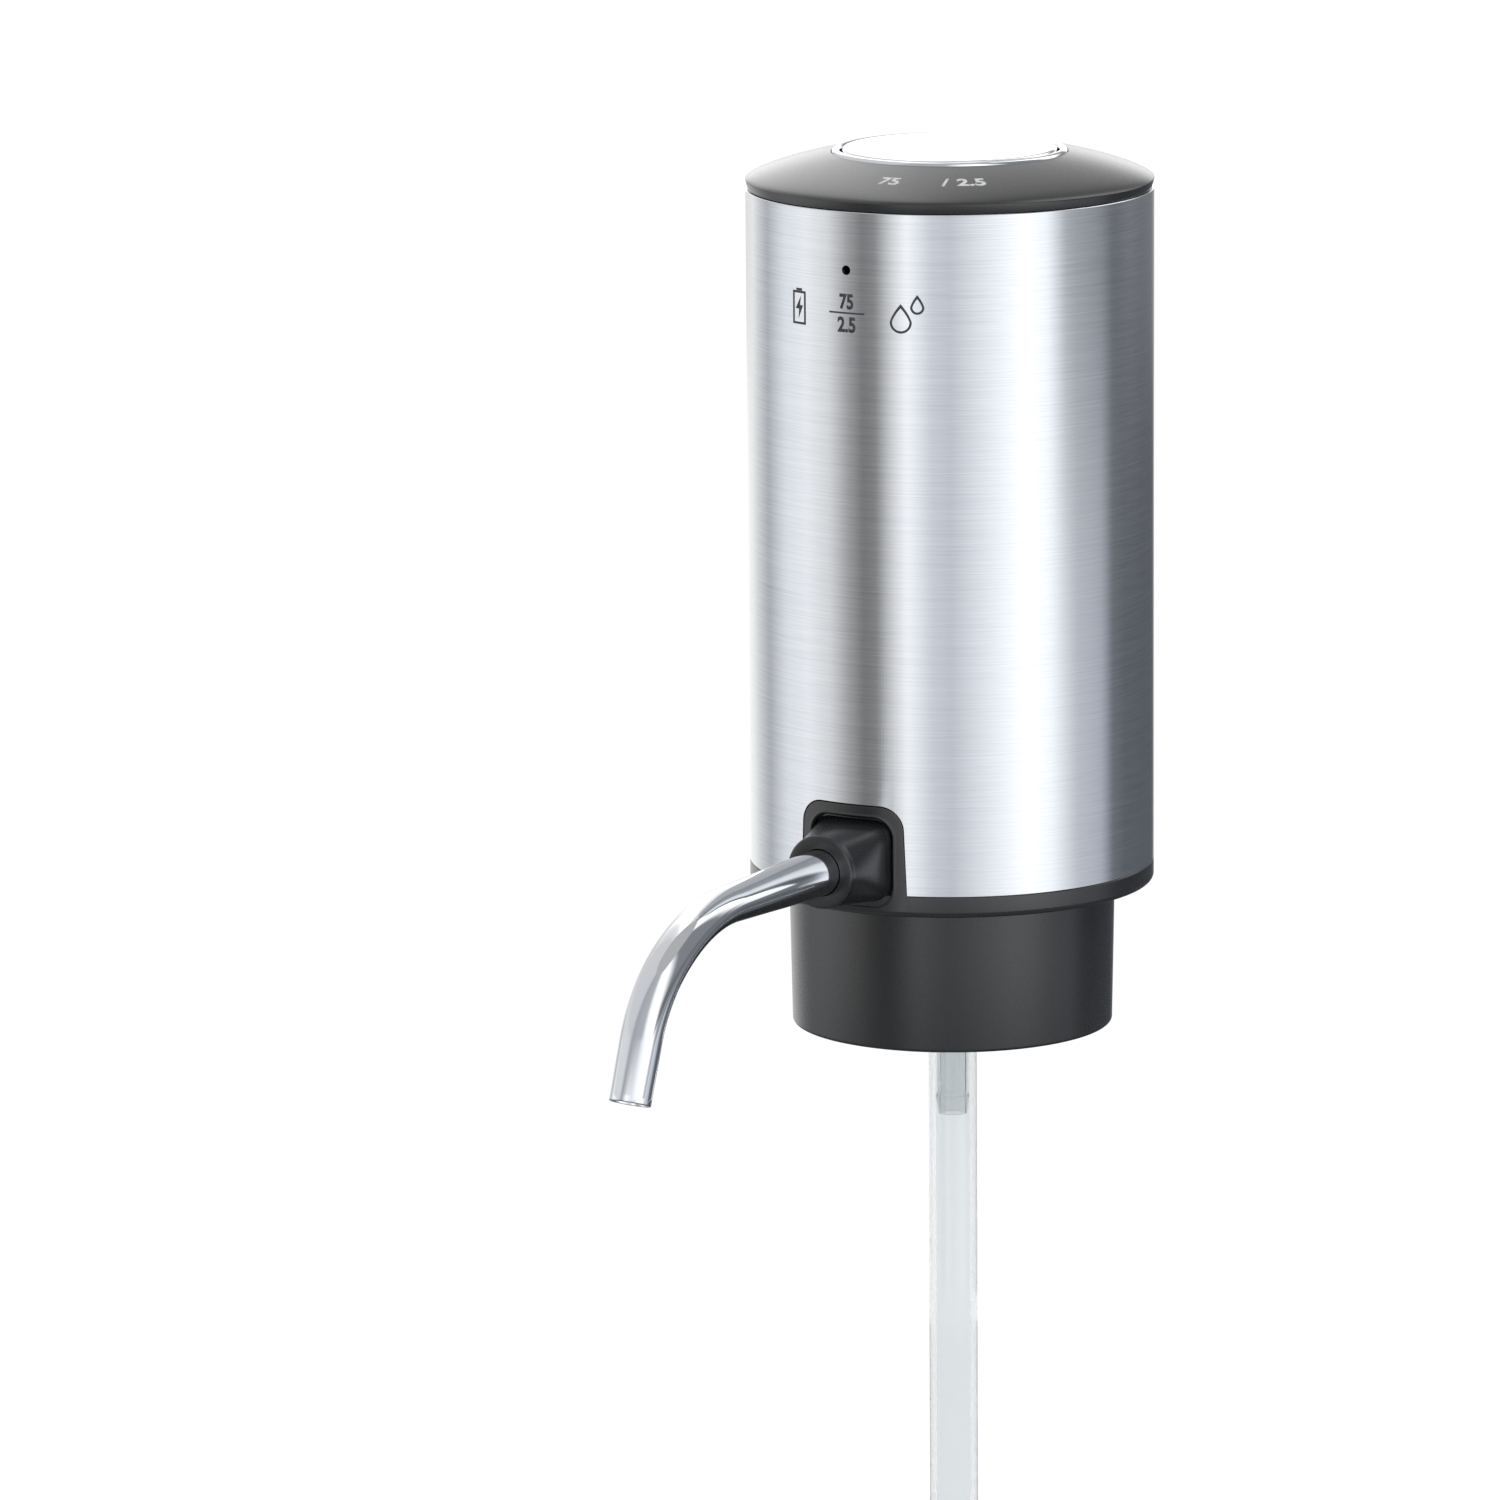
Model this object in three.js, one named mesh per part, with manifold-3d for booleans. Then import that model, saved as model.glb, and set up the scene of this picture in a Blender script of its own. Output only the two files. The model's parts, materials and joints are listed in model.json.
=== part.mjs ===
// An electric aerator that stands on an open vessel's neck and pours at the press of a button.
// Millimetres, +Z up. The origin is the centre of the neck's rim, the spout points to -Y.
// A small air pump presses air into the vessel, which drives the drink up the intake tube, through
// the channel in the base and out of the spout; a valve lets the pressure off when pouring ends.

import * as THREE from "three";
import { mergeVertices } from "three/addons/utils/BufferGeometryUtils.js";
import Module from "manifold-3d";

const wasm = await Module();
wasm.setup();

// Clearances and cuts
const slipGap = 0.15; // pieces that plug together, slide or turn in each other
const freeGap = 0.3; // pieces that only lie near each other
const cutOverrun = 1; // how far a cutting shape runs past the face it opens
const weldDepth = 0.4; // how far joined shapes reach into each other

// Facets round a turned shape
const wideSides = 36;
const bodySides = 20;
const smallSides = 12;
const tinySides = 8;
const ringFacets = 6; // round the section of an O-ring
const springFacets = 5; // round a spring's wire
const hoseFacets = 4; // per quarter turn of a hose's section
const hoseSteps = 9; // along a hose

// The outer shell
const bodyRadius = 30;
const sleeveWall = 0.7;
const sleeveHeight = 100.3;
const sleeveBottom = 10; // height of the sleeve's lower edge above the neck's rim
const sleeveTop = sleeveBottom + sleeveHeight;
const sleeveBore = bodyRadius - sleeveWall;
const shellSpigot = sleeveBore - slipGap; // radius of what plugs into the sleeve

// The base housing
const baseRimHeight = 3.2;
const baseRimFillet = 0.9;
const baseFloor = 2.2;
const baseWall = 1.8;
const baseSpigotHeight = 15;
const baseBottom = sleeveBottom - baseRimHeight;
const floorTop = baseBottom + baseFloor;
const baseBore = shellSpigot - baseWall;
const spigotTop = sleeveBottom + baseSpigotHeight;

// The panel that fills the notch in the sleeve, and the well sunk into it
const panelHalfWidth = 8.85;
const panelTopHalfWidth = 8.4;
const panelHeight = 13.07;
const panelCorner = 3.5;
const wellHalfWidth = 6.65;
const wellHalfHeight = 6.38;
const wellCorner = 2.8;
const wellRise = 4.78; // centre of the well above the sleeve's lower edge
const wellDepth = 1.2;
const wellGroove = 0.5; // width of the groove between the well's edge and the boss
const wellZ = sleeveBottom + wellRise;

// The lofted boss and its round nose
const spoutRise = 4.5; // spout axis above the sleeve's lower edge
const noseForward = 38.6;
const noseRadius = 5.45;
const noseLip = 1.1;
const noseFillet = 0.4;
const noseWall = 1.6;
const spoutZ = sleeveBottom + spoutRise;

// The spout tube
const spoutRadius = 3.4;
const spoutTipRadius = 3.05;
const spoutWall = 0.5;
const spoutStraight = 25.2; // free length between the nose and the bend
const spoutFirstBend = 28.8;
const spoutSecondBend = 21;
const spoutEnd = 8.8;
const spoutPinch = 0.7; // how much the bend flattens the tube in the bend's plane
const spoutInside = 16.7; // length held in the housing
const spoutFirstAngle = THREE.MathUtils.degToRad(38);
const spoutSecondAngle = THREE.MathUtils.degToRad(32);
const spoutSides = 12;

// The soft bush round the spout
const sealOuter = 4.4;

// The collar that hides the vessel's neck, and the stopper in the neck's mouth
const collarInset = 5.8; // how far the collar stands in from the body
const collarDraft = 0.4; // how much narrower the collar is at its rim
const collarTopRadius = bodyRadius - collarInset;
const collarBottomRadius = collarTopRadius - collarDraft;
const collarWall = 2;
const collarRoof = 2.5;
const collarDepth = 24.7; // from the sleeve's lower edge to the collar's rim
const collarEdge = 0.5;
const collarBottom = sleeveBottom - collarDepth;
const collarRoofBottom = baseBottom - collarRoof;
const stopperFlangeRadius = 15.5;
const stopperLength = 16;
const stopperTopRadius = 9.3;
const stopperTipRadius = 8.2;
const stopperRib = 0.7;
const stopperRibs = 3;
const stopperShoulder = 1.5; // height of the bead under the flange

// The channel for the drink
const coreRadius = 5.5;
const coreDepth = 18; // how far the core reaches below the neck's rim
const drinkBore = 1.7;
const airBore = 0.6;
const airOffset = 3.2;
const airSlot = 1.5; // height of the slot that lets the air out beside the intake tube
const channelFlangeRadius = 10;
const channelFlange = 3.5;
const ductRadius = 5.2;
const nippleRadius = 2.4;
const nippleLength = 11;
const nippleBarb = 0.1;
const airBlockHalfWidth = 5.2;
const airBlockDepth = 3.6;
const airRise = 0.4; // clear height between the hoses and the flange
const barbRadius = 1.5;
const barbLength = 2.4;
const hoseWall = 0.6;
const hoseLead = 2.8; // straight length over each barb
const hosePull = 3;
const ventHosePull = 8;
const hoseBore = barbRadius + freeGap;
const hoseRadius = hoseBore + hoseWall;
const flangeTop = floorTop + channelFlange;
const airZ = flangeTop + airRise + hoseRadius;
const coreHole = coreRadius + freeGap;
const ductMouth = Math.sqrt(baseBore ** 2 - ductRadius ** 2) - freeGap;

// The intake tube that reaches down into the vessel
const strawWall = 1.05;
const strawLength = 246;
const strawBevel = 5;

// O-rings
const ringWire = 0.5;
const coreRingDepth = 9; // below the neck's rim
const spoutRingInset = 2.6; // behind the mouth of the socket

// The chassis that carries the pump, the battery and the boards
const chassisGap = 11.5; // height of the space under the chassis for channel and hoses
const chassisPlate = 2;
const chassisWebGap = 0.8;
const chassisWebHalfDepth = 11;
const chassisSlack = 0.35;
const postRadius = 2.6;
const boardThickness = 1.6;
const lightDrop = 8.5; // the light's hole below the sleeve's top
const lightHalfHeight = 0.5;
const lightZ = sleeveTop - lightDrop;
const boardTop = lightZ - lightHalfHeight;
const chassisRadius = baseBore - chassisSlack;
const chassisBottom = floorTop + chassisGap;
const chassisFloor = chassisBottom + chassisPlate;
const chassisTop = boardTop - boardThickness;
const chassisTopUnder = chassisTop - chassisPlate;

// The diaphragm pump, from its cover up to the motor
const pumpRadius = 13.2;
const pumpMargin = 1.2; // between the pump and the edge of the chassis
const pumpX = pumpRadius + pumpMargin - chassisRadius;
const chassisWebX = pumpX + pumpRadius + chassisWebGap;
const pumpCoverHeight = 5;
const pumpChamberRadius = 5.2;
const pumpChamberDepth = 2.4;
const pumpNippleLength = 4;
const valvePlateHeight = 2;
const valveHole = 0.5;
const valveHoleReach = 2.6;
const umbrellaRadius = 3.9;
const umbrellaHeight = 0.6;
const umbrellaStem = 0.8;
const diaphragmSheet = 1.2;
const diaphragmSkin = 0.8;
const cupReach = 7;
const cupRadius = 4;
const cupTopRadius = 2.2;
const cupTopGap = 0.6;
const cupNubRadius = 0.6;
const cupNubHeight = 1.5;
const pumpFrameHeight = 21.6;
const pumpFrameWall = 1.6;
const pumpFrameRoof = 2;
const pumpWindowWidth = 9;
const pumpWindowHeight = 8;
const pumpWindowRise = 8.5;
const pumpBossReach = 10.7;
const pumpBossRadius = 2;
const pumpBossHeight = 6;
const cylinderCount = 3;
const cylinderTurn = THREE.MathUtils.degToRad(90);

// The wobble drive: a crank with a leaning pin tips a plate that works the three cups in turn
const wobbleTilt = THREE.MathUtils.degToRad(7);
const wobbleRise = 5.4; // centre of the wobble above the diaphragm's sheet
const wobbleHubRadius = 2.5;
const wobbleHubUp = 3;
const wobbleHubDown = 1.4;
const wobbleArm = 1.6;
const wobbleArmHalfWidth = 1.7;
const wobbleEye = 2.3;
const wobbleEyeHole = 1.1;
const pinRadius = 0.8;
const pinDown = 1;
const crankRadius = 6;
const crankHeight = 6.5;
const crankRise = 6.6; // crank's lower face above the centre of the wobble

// The motor
const motorRadius = 12.15;
const motorRoom = 15.4; // clear height over the motor
const pumpStack = pumpCoverHeight + valvePlateHeight + diaphragmSheet + pumpFrameHeight;
const motorLength = chassisTopUnder - chassisFloor - pumpStack - motorRoom;
const motorWall = 1;
const motorNose = 2.2;
const motorNoseRadius = 3.4;
const motorCapHeight = 2;
const motorCapHub = 1.8;
const motorCapHubRadius = 3;
const terminalWidth = 2.4;
const terminalThickness = 0.5;
const terminalHeight = 3;
const terminalReach = 7;
const shaftRadius = 1;
const shaftGrip = 3; // how far the crank sits on the shaft
const pinUp = (crankRise + crankHeight - shaftGrip - 2 * freeGap) / Math.cos(wobbleTilt);
const bushRadius = 2.3;
const bushLength = 4;
const magnetThickness = 1.8;
const magnetMargin = 3.4;
const magnetAngle = THREE.MathUtils.degToRad(340);
const poleGap = 0.45;
const poleShoe = 1.6;
const poleNeck = 2.6;
const poleAngle = THREE.MathUtils.degToRad(96);
const poleCount = 3;
const armatureMargin = 5.6;
const coilHalfWidth = 2.6;
const coilInset = 1.2;
const commutatorRadius = 2.6;
const commutatorHeight = 3.4;

// The battery
const batteryRadius = 9.15;
const batteryMargin = 2.35;
const batteryX = chassisRadius - batteryMargin - batteryRadius;
const batteryRoom = 10.2; // clear height for the pad, the tabs and the wires
const batteryLength = chassisTopUnder - chassisFloor - batteryRoom;
const batteryPad = 1.2;
const batteryPadInset = 0.8;
const batteryTab = 0.3;
const batteryTabWidth = 5;
const batteryTabLength = 11;
const batteryButton = 3;
const batteryButtonHeight = 0.8;
const batteryCrimp = 0.5;
const batteryCrimpDrop = 2.4;
const batteryShoulder = 0.8;

// The clips of the chassis
const clipWall = 1.5;
const clipHeight = 6;
const clipShares = [0.28, 0.72];
const clipMouthShare = 0.35;
const motorClipShare = 0.5;

// The air-release valve
const ventX = 7.5;
const ventY = -17.5;
const ventRadius = 5.4;
const ventBase = 5;
const ventFloor = 2.2;
const ventChamber = 3.2;
const ventCoilHeight = 11;
const ventPlungerRadius = 2;
const ventPlungerLength = 7.6;
const ventSeatGap = 0.3;
const ventTravel = 1;
const ventCap = 1.4;
const ventPocket = 1.6;
const ventPocketDepth = 2.6;
const ventSpringRadius = 1.1;
const ventSpringWire = 0.2;
const ventSpringTurns = 2.5;
const ventPort = 0.6;
const ventPortRadius = 1.3;
const ventPortLength = 1.6;

// The charging socket and its board
const usbRise = 6.8; // board above the chassis floor
const usbBoard = 1.2;
const usbBoardHalfWidth = 7;
const usbBoardLength = 15.5;
const usbHalfWidth = 4.47;
const usbHeight = 3.26;
const usbLength = 7.35;
const usbWall = 0.3;
const usbTongue = 0.7;
const usbTongueHalfWidth = 3.3;
const usbTongueInset = 1.2;
const usbSlotGap = 0.35;
const usbPostRadius = 1.9;
const usbPegRadius = 0.9; // the post's peg is melted over the board
const usbPegOut = 0.7;
const usbPostInset = 4;
const usbEdgeInset = 0.9;
const roundShare = 0.98; // how nearly the socket's ends are full rounds

// The main board with its switch and light
const capSkirtWall = 1.6;
const skirtBore = shellSpigot - capSkirtWall;
const topDiscSlack = 0.05;
const topDiscRadius = skirtBore - topDiscSlack;
const chipHalfWidth = 3.2;
const chipHeight = 1.2;
const chipReach = 12;
const switchHalfWidth = 3;
const switchHeight = 3.4;
const switchPlungerRadius = 1.7;
const switchPlungerOut = 1.6;
const switchPlungerIn = 1.5;
const buttonTravel = 1;
const lightHalfWidth = 1.5;
const lightDepth = 1.5;
const lightHole = 0.7;
const lightOut = 0.9; // how far the light stands out past the board's edge

// The cap, the trim ring and the button
const capBand = 1.2;
const capRise = 5.65; // top of the dome above the sleeve
const capWall = 2;
const capSkirt = 6.8;
// The dome from the edge of the band to the trim ring, as shares of its reach and rise
const domeShares = [
  [1, 0],
  [0.985, 0.09],
  [0.92, 0.2],
  [0.68, 0.45],
  [0.36, 0.72],
  [0, 1],
];
const trimRadius = 17.4;
const trimBore = 16.05;
const trimLip = 0.75;
const trimProud = 0.1;
const trimNeck = 0.65;
const trimNeckDepth = 2.7;
const buttonProud = 0.15; // button's top above the trim ring
const buttonPlate = 2.2;
const buttonFillet = 0.35;
const buttonSkirtWall = 1.4;
const buttonFlange = 1;
const buttonFlangeOut = 0.7;
const stemRadius = 2.6;
const springCupRadius = 6.3;
const springCupWall = 1;
const springCupDepth = 1.4;
const springRadius = 5.2;
const springWire = 0.3;
const springTurns = 3.5;
const guideThickness = 1.2;
const guideInset = 3.55;
const guideRadius = skirtBore - guideInset;
const guideBossInset = 2.7;
const guideBossReach = guideRadius - guideBossInset;
const guideBossRadius = 2.3;
const capTop = sleeveTop + capRise;
const trimTop = capTop + trimProud;
const buttonTop = trimTop + buttonProud;
const buttonRadius = trimBore - freeGap;

// Screws: head radius, head height, shank radius and length of the two kinds
const screwHead = 1.9;
const screwHeadHeight = 1.1;
const screwShank = 1.1;
const smallHead = 1.3;
const smallHeadHeight = 0.8;
const smallShank = 0.75;
const collarScrewInset = 3.3;
const collarScrewReach = collarBottomRadius - collarWall - collarScrewInset;
const collarScrewLength = 7;
const baseScrewInset = 6.35;
const baseScrewReach = baseBore - baseScrewInset;
const baseScrewLength = 10;
const channelScrewX = 7.6;
const channelScrewY = 3;
const channelScrewLength = 4.2;
const pumpScrewLength = 12;
const boardScrewInset = 5.5;
const boardScrewReach = topDiscRadius - boardScrewInset;
const boardScrewLength = 4.2;
const guideScrewLength = 5;
const collarScrewAngles = [60, 240].map(THREE.MathUtils.degToRad);
const baseScrewAngles = [90, 200, 340].map(THREE.MathUtils.degToRad);
const boardScrewAngles = [55, 235].map(THREE.MathUtils.degToRad);
const guideScrewAngles = [90, 270].map(THREE.MathUtils.degToRad);

// Finishes
const finish = (color, roughness, metalness) =>
  new THREE.MeshStandardMaterial({ color, roughness, metalness });
const brushedSteel = finish(0xc9cbcf, 0.34, 1);
const polishedSteel = finish(0xdcdee0, 0.08, 1);
const darkPlastic = finish(0x3b3c3e, 0.42, 0);
const whitePlastic = finish(0xe6e4de, 0.5, 0);
const clearPlastic = finish(0xc8ced2, 0.25, 0);
const greySilicone = finish(0x8d9092, 0.7, 0);
const blackRubber = finish(0x1c1c1d, 0.75, 0);
const zincSteel = finish(0xb9babb, 0.4, 1);
const springSteel = finish(0xa9abad, 0.3, 1);
const copperWire = finish(0xa65a2e, 0.4, 0.6);
const brass = finish(0xb8924a, 0.35, 1);
const ferrite = finish(0x3a3836, 0.8, 0);
const greenBoard = finish(0x1f5d3c, 0.5, 0);
const blueWrap = finish(0x2c5d9c, 0.45, 0);
const blackFoam = finish(0x252525, 0.95, 0);

// A closed three.js shape as a solid that can be joined and cut
function toSolid(geometry) {
  const bare = new THREE.BufferGeometry();
  bare.setAttribute("position", geometry.getAttribute("position"));
  bare.setIndex(geometry.index);
  const merged = mergeVertices(bare, 1e-4);
  const corners = merged.index.array;
  const kept = [];
  for (let i = 0; i < corners.length; i += 3) {
    const [a, b, c] = corners.subarray(i, i + 3);
    if (a !== b && b !== c && c !== a) kept.push(a, b, c);
  }
  const vertProperties = new Float32Array(merged.attributes.position.array);
  return new wasm.Manifold(
    new wasm.Mesh({ numProp: 3, vertProperties, triVerts: new Uint32Array(kept) }),
  );
}

function toGeometry(solid) {
  const mesh = solid.getMesh();
  const geometry = new THREE.BufferGeometry();
  geometry.setAttribute("position", new THREE.BufferAttribute(mesh.vertProperties, 3));
  geometry.setIndex(new THREE.BufferAttribute(mesh.triVerts, 1));
  return geometry;
}

function join(...pieces) {
  return toGeometry(pieces.map(toSolid).reduce((whole, next) => whole.add(next)));
}

function cut(body, ...tools) {
  return toGeometry(tools.map(toSolid).reduce((rest, tool) => rest.subtract(tool), toSolid(body)));
}

function common(first, second) {
  return toGeometry(toSolid(first).intersect(toSolid(second)));
}

// A profile of [radius, height] pairs turned about Z, outer side upwards
function turned(profile, sides = bodySides) {
  const points = profile.map(([radius, height]) => new THREE.Vector2(radius, height));
  return new THREE.LatheGeometry(points, sides).rotateX(Math.PI / 2);
}

// A profile that doesn't reach the axis is closed on itself
function turnedRing(profile, sides = bodySides) {
  return turned([...profile, profile[0]], sides);
}

function disc(radius, low, high, sides = bodySides) {
  return turned([[0, low], [radius, low], [radius, high], [0, high]], sides);
}

function pipe(inner, outer, low, high, sides = bodySides) {
  return turnedRing([[inner, low], [outer, low], [outer, high], [inner, high]], sides);
}

// A rod along Z at x, y; a rod that points forward, to -Y; and a rod along X
function rodUp(radius, low, high, x, y, sides = smallSides) {
  return disc(radius, low, high, sides).translate(x, y, 0);
}

function rodForward(radius, from, to, z, sides = smallSides) {
  return disc(radius, from, to, sides).rotateX(Math.PI / 2).translate(0, 0, z);
}

function rodAcross(radius, from, to, y, z, sides = smallSides) {
  return disc(radius, from, to, sides).rotateY(Math.PI / 2).translate(0, y, z);
}

function block(lowX, highX, lowY, highY, lowZ, highZ) {
  return new THREE.BoxGeometry(highX - lowX, highY - lowY, highZ - lowZ).translate(
    (lowX + highX) / 2,
    (lowY + highY) / 2,
    (lowZ + highZ) / 2,
  );
}

// An outline in X and Z pushed forward, to -Y
function prismForward(shape, from, to, curveSegments = 6) {
  return new THREE.ExtrudeGeometry(shape, { depth: to - from, bevelEnabled: false, curveSegments })
    .rotateX(Math.PI / 2)
    .translate(0, -from, 0);
}

// A slice of a ring between two angles
function arcSlice(inner, outer, angle, spread, low, high) {
  const shape = new THREE.Shape();
  shape.absarc(0, 0, outer, angle - spread / 2, angle + spread / 2, false);
  shape.absarc(0, 0, inner, angle + spread / 2, angle - spread / 2, true);
  const slice = { depth: high - low, bevelEnabled: false, curveSegments: tinySides };
  return new THREE.ExtrudeGeometry(shape, slice).translate(0, 0, low);
}

// A rectangle with round corners as a shape
function roundedShape(x, z, halfWidth, halfHeight, corner) {
  const shape = new THREE.Shape();
  const insideX = halfWidth - corner;
  const insideZ = halfHeight - corner;
  const quarter = Math.PI / 2;
  const centres = [[1, -1, -quarter], [1, 1, 0], [-1, 1, quarter], [-1, -1, 2 * quarter]];
  for (const [sideX, sideZ, angle] of centres)
    shape.absarc(x + sideX * insideX, z + sideZ * insideZ, corner, angle, angle + quarter, false);
  return shape;
}

// Rings of equally many points, skinned one to the next and closed at both ends
function skin(rings) {
  const count = rings[0].length;
  const points = rings.flat();
  const faces = [];
  for (let ring = 0; ring + 1 < rings.length; ring += 1)
    for (let i = 0; i < count; i += 1) {
      const a = ring * count + i;
      const b = ring * count + ((i + 1) % count);
      faces.push(a, b, b + count, a, b + count, a + count);
    }
  const last = (rings.length - 1) * count;
  for (let i = 1; i + 1 < count; i += 1) {
    faces.push(0, i + 1, i);
    faces.push(last, last + i, last + i + 1);
  }
  const geometry = new THREE.BufferGeometry().setFromPoints(points);
  geometry.setIndex(faces);
  return geometry;
}

// A wire or tube along a list of centres; each ring is square to the path
function sweep(centres, tangents, reach, sides) {
  const rings = centres.map((centre, i) => {
    const along = tangents[i].clone().normalize();
    const side = new THREE.Vector3().crossVectors(along, reach.up(i)).normalize();
    const up = new THREE.Vector3().crossVectors(along, side);
    return Array.from({ length: sides }, (_, k) => {
      const angle = (2 * Math.PI * k) / sides;
      return centre
        .clone()
        .addScaledVector(side, Math.cos(angle) * reach.side(i))
        .addScaledVector(up, Math.sin(angle) * reach.height(i));
    });
  });
  return skin(rings);
}

// Places round an axis
function around(reach, angles) {
  return angles.map((angle) => [reach * Math.cos(angle), reach * Math.sin(angle)]);
}

const object = new THREE.Group();

function add(name, geometry, material, parent = object) {
  const shown = geometry.index ? geometry.toNonIndexed() : geometry;
  shown.computeVertexNormals();
  const mesh = new THREE.Mesh(shown, material);
  mesh.name = name;
  parent.add(mesh);
  return mesh;
}

// Screws and their holes. A screw's head sits below its seat, its shank points up.
const screwSize = {
  large: { head: screwHead, headHeight: screwHeadHeight, shank: screwShank },
  small: { head: smallHead, headHeight: smallHeadHeight, shank: smallShank },
};

function screw(size, length) {
  const { head, headHeight, shank } = screwSize[size];
  const chamfer = headHeight / 3;
  return turned(
    [
      [0, -headHeight],
      [head - chamfer, -headHeight],
      [head, chamfer - headHeight],
      [head, 0],
      [shank, 0],
      [shank, length],
      [0, length],
    ],
    tinySides,
  );
}

function screwHole(size, seat, length, x, y) {
  const { shank } = screwSize[size];
  return rodUp(shank + slipGap, seat - cutOverrun, seat + length + freeGap, x, y, tinySides);
}

function screwSeat(size, low, seat, x, y) {
  const { head } = screwSize[size];
  return rodUp(head + freeGap, low - cutOverrun, seat, x, y, tinySides);
}

function addScrews(name, size, places, seat, length, pointsDown = false) {
  places.forEach(([x, y], i) => {
    const mesh = add(`${name}_${i + 1}`, screw(size, length), zincSteel);
    mesh.position.set(x, y, seat);
    if (pointsDown) mesh.rotation.x = Math.PI;
  });
}

const collarScrewPlaces = around(collarScrewReach, collarScrewAngles);
const baseScrewPlaces = around(baseScrewReach, baseScrewAngles);
const boardScrewPlaces = around(boardScrewReach, boardScrewAngles);
const guideScrewPlaces = around(guideBossReach, guideScrewAngles);
const channelScrewPlaces = [-1, 1].map((side) => [side * channelScrewX, channelScrewY]);

// The panel's outline, narrower at the top, with round upper corners
function panelShape(grow, bottom) {
  const foot = panelHalfWidth + grow;
  const top = panelTopHalfWidth + grow;
  const height = sleeveBottom + panelHeight + grow;
  const corner = panelCorner + grow;
  const shape = new THREE.Shape();
  shape.moveTo(-foot, bottom);
  shape.lineTo(foot, bottom);
  shape.absarc(top - corner, height - corner, corner, 0, Math.PI / 2, false);
  shape.absarc(corner - top, height - corner, corner, Math.PI / 2, Math.PI, false);
  return shape;
}

// Distance from the middle of a rounded rectangle to its edge, at an angle
function edgeReach(angle, halfWidth, halfHeight, corner) {
  const across = Math.abs(Math.cos(angle));
  const rise = Math.abs(Math.sin(angle));
  const insideX = halfWidth - corner;
  const insideZ = halfHeight - corner;
  if (halfWidth * rise <= insideZ * across) return halfWidth / across;
  if (halfHeight * across <= insideX * rise) return halfHeight / rise;
  const nearest = insideX * across + insideZ * rise;
  return nearest + Math.sqrt(nearest ** 2 - insideX ** 2 - insideZ ** 2 + corner ** 2);
}

function bossRing(forward, middle, halfWidth, halfHeight, corner) {
  return Array.from({ length: bodySides }, (_, i) => {
    const angle = (2 * Math.PI * i) / bodySides;
    const reach = edgeReach(angle, halfWidth, halfHeight, corner);
    return new THREE.Vector3(Math.cos(angle) * reach, -forward, middle + Math.sin(angle) * reach);
  });
}

// The boss runs from a rounded square in the well to the round nose that holds the spout
function boss() {
  const steps = 6;
  const root = baseBore + weldDepth;
  const wellFloor = bodyRadius - wellDepth;
  const neck = noseForward - noseLip;
  const rootWidth = wellHalfWidth - wellGroove;
  const rootHeight = wellHalfHeight - wellGroove;
  const rootCorner = wellCorner - wellGroove;
  const rings = [bossRing(root, wellZ, rootWidth, rootHeight, rootCorner)];
  for (let step = 0; step <= steps; step += 1) {
    const share = step / steps;
    const blend = (from, to) => THREE.MathUtils.lerp(from, to, share);
    rings.push(
      bossRing(
        blend(wellFloor, neck),
        blend(wellZ, spoutZ),
        blend(rootWidth, noseRadius),
        blend(rootHeight, noseRadius),
        blend(rootCorner, noseRadius),
      ),
    );
  }
  const shoulder = noseForward - noseFillet;
  const face = noseRadius - noseFillet;
  rings.push(bossRing(shoulder, spoutZ, noseRadius, noseRadius, noseRadius));
  const soft = noseFillet * (1 - Math.SQRT1_2);
  const between = noseRadius - soft;
  rings.push(bossRing(noseForward - soft, spoutZ, between, between, between));
  rings.push(bossRing(noseForward, spoutZ, face, face, face));
  return skin(rings);
}

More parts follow.
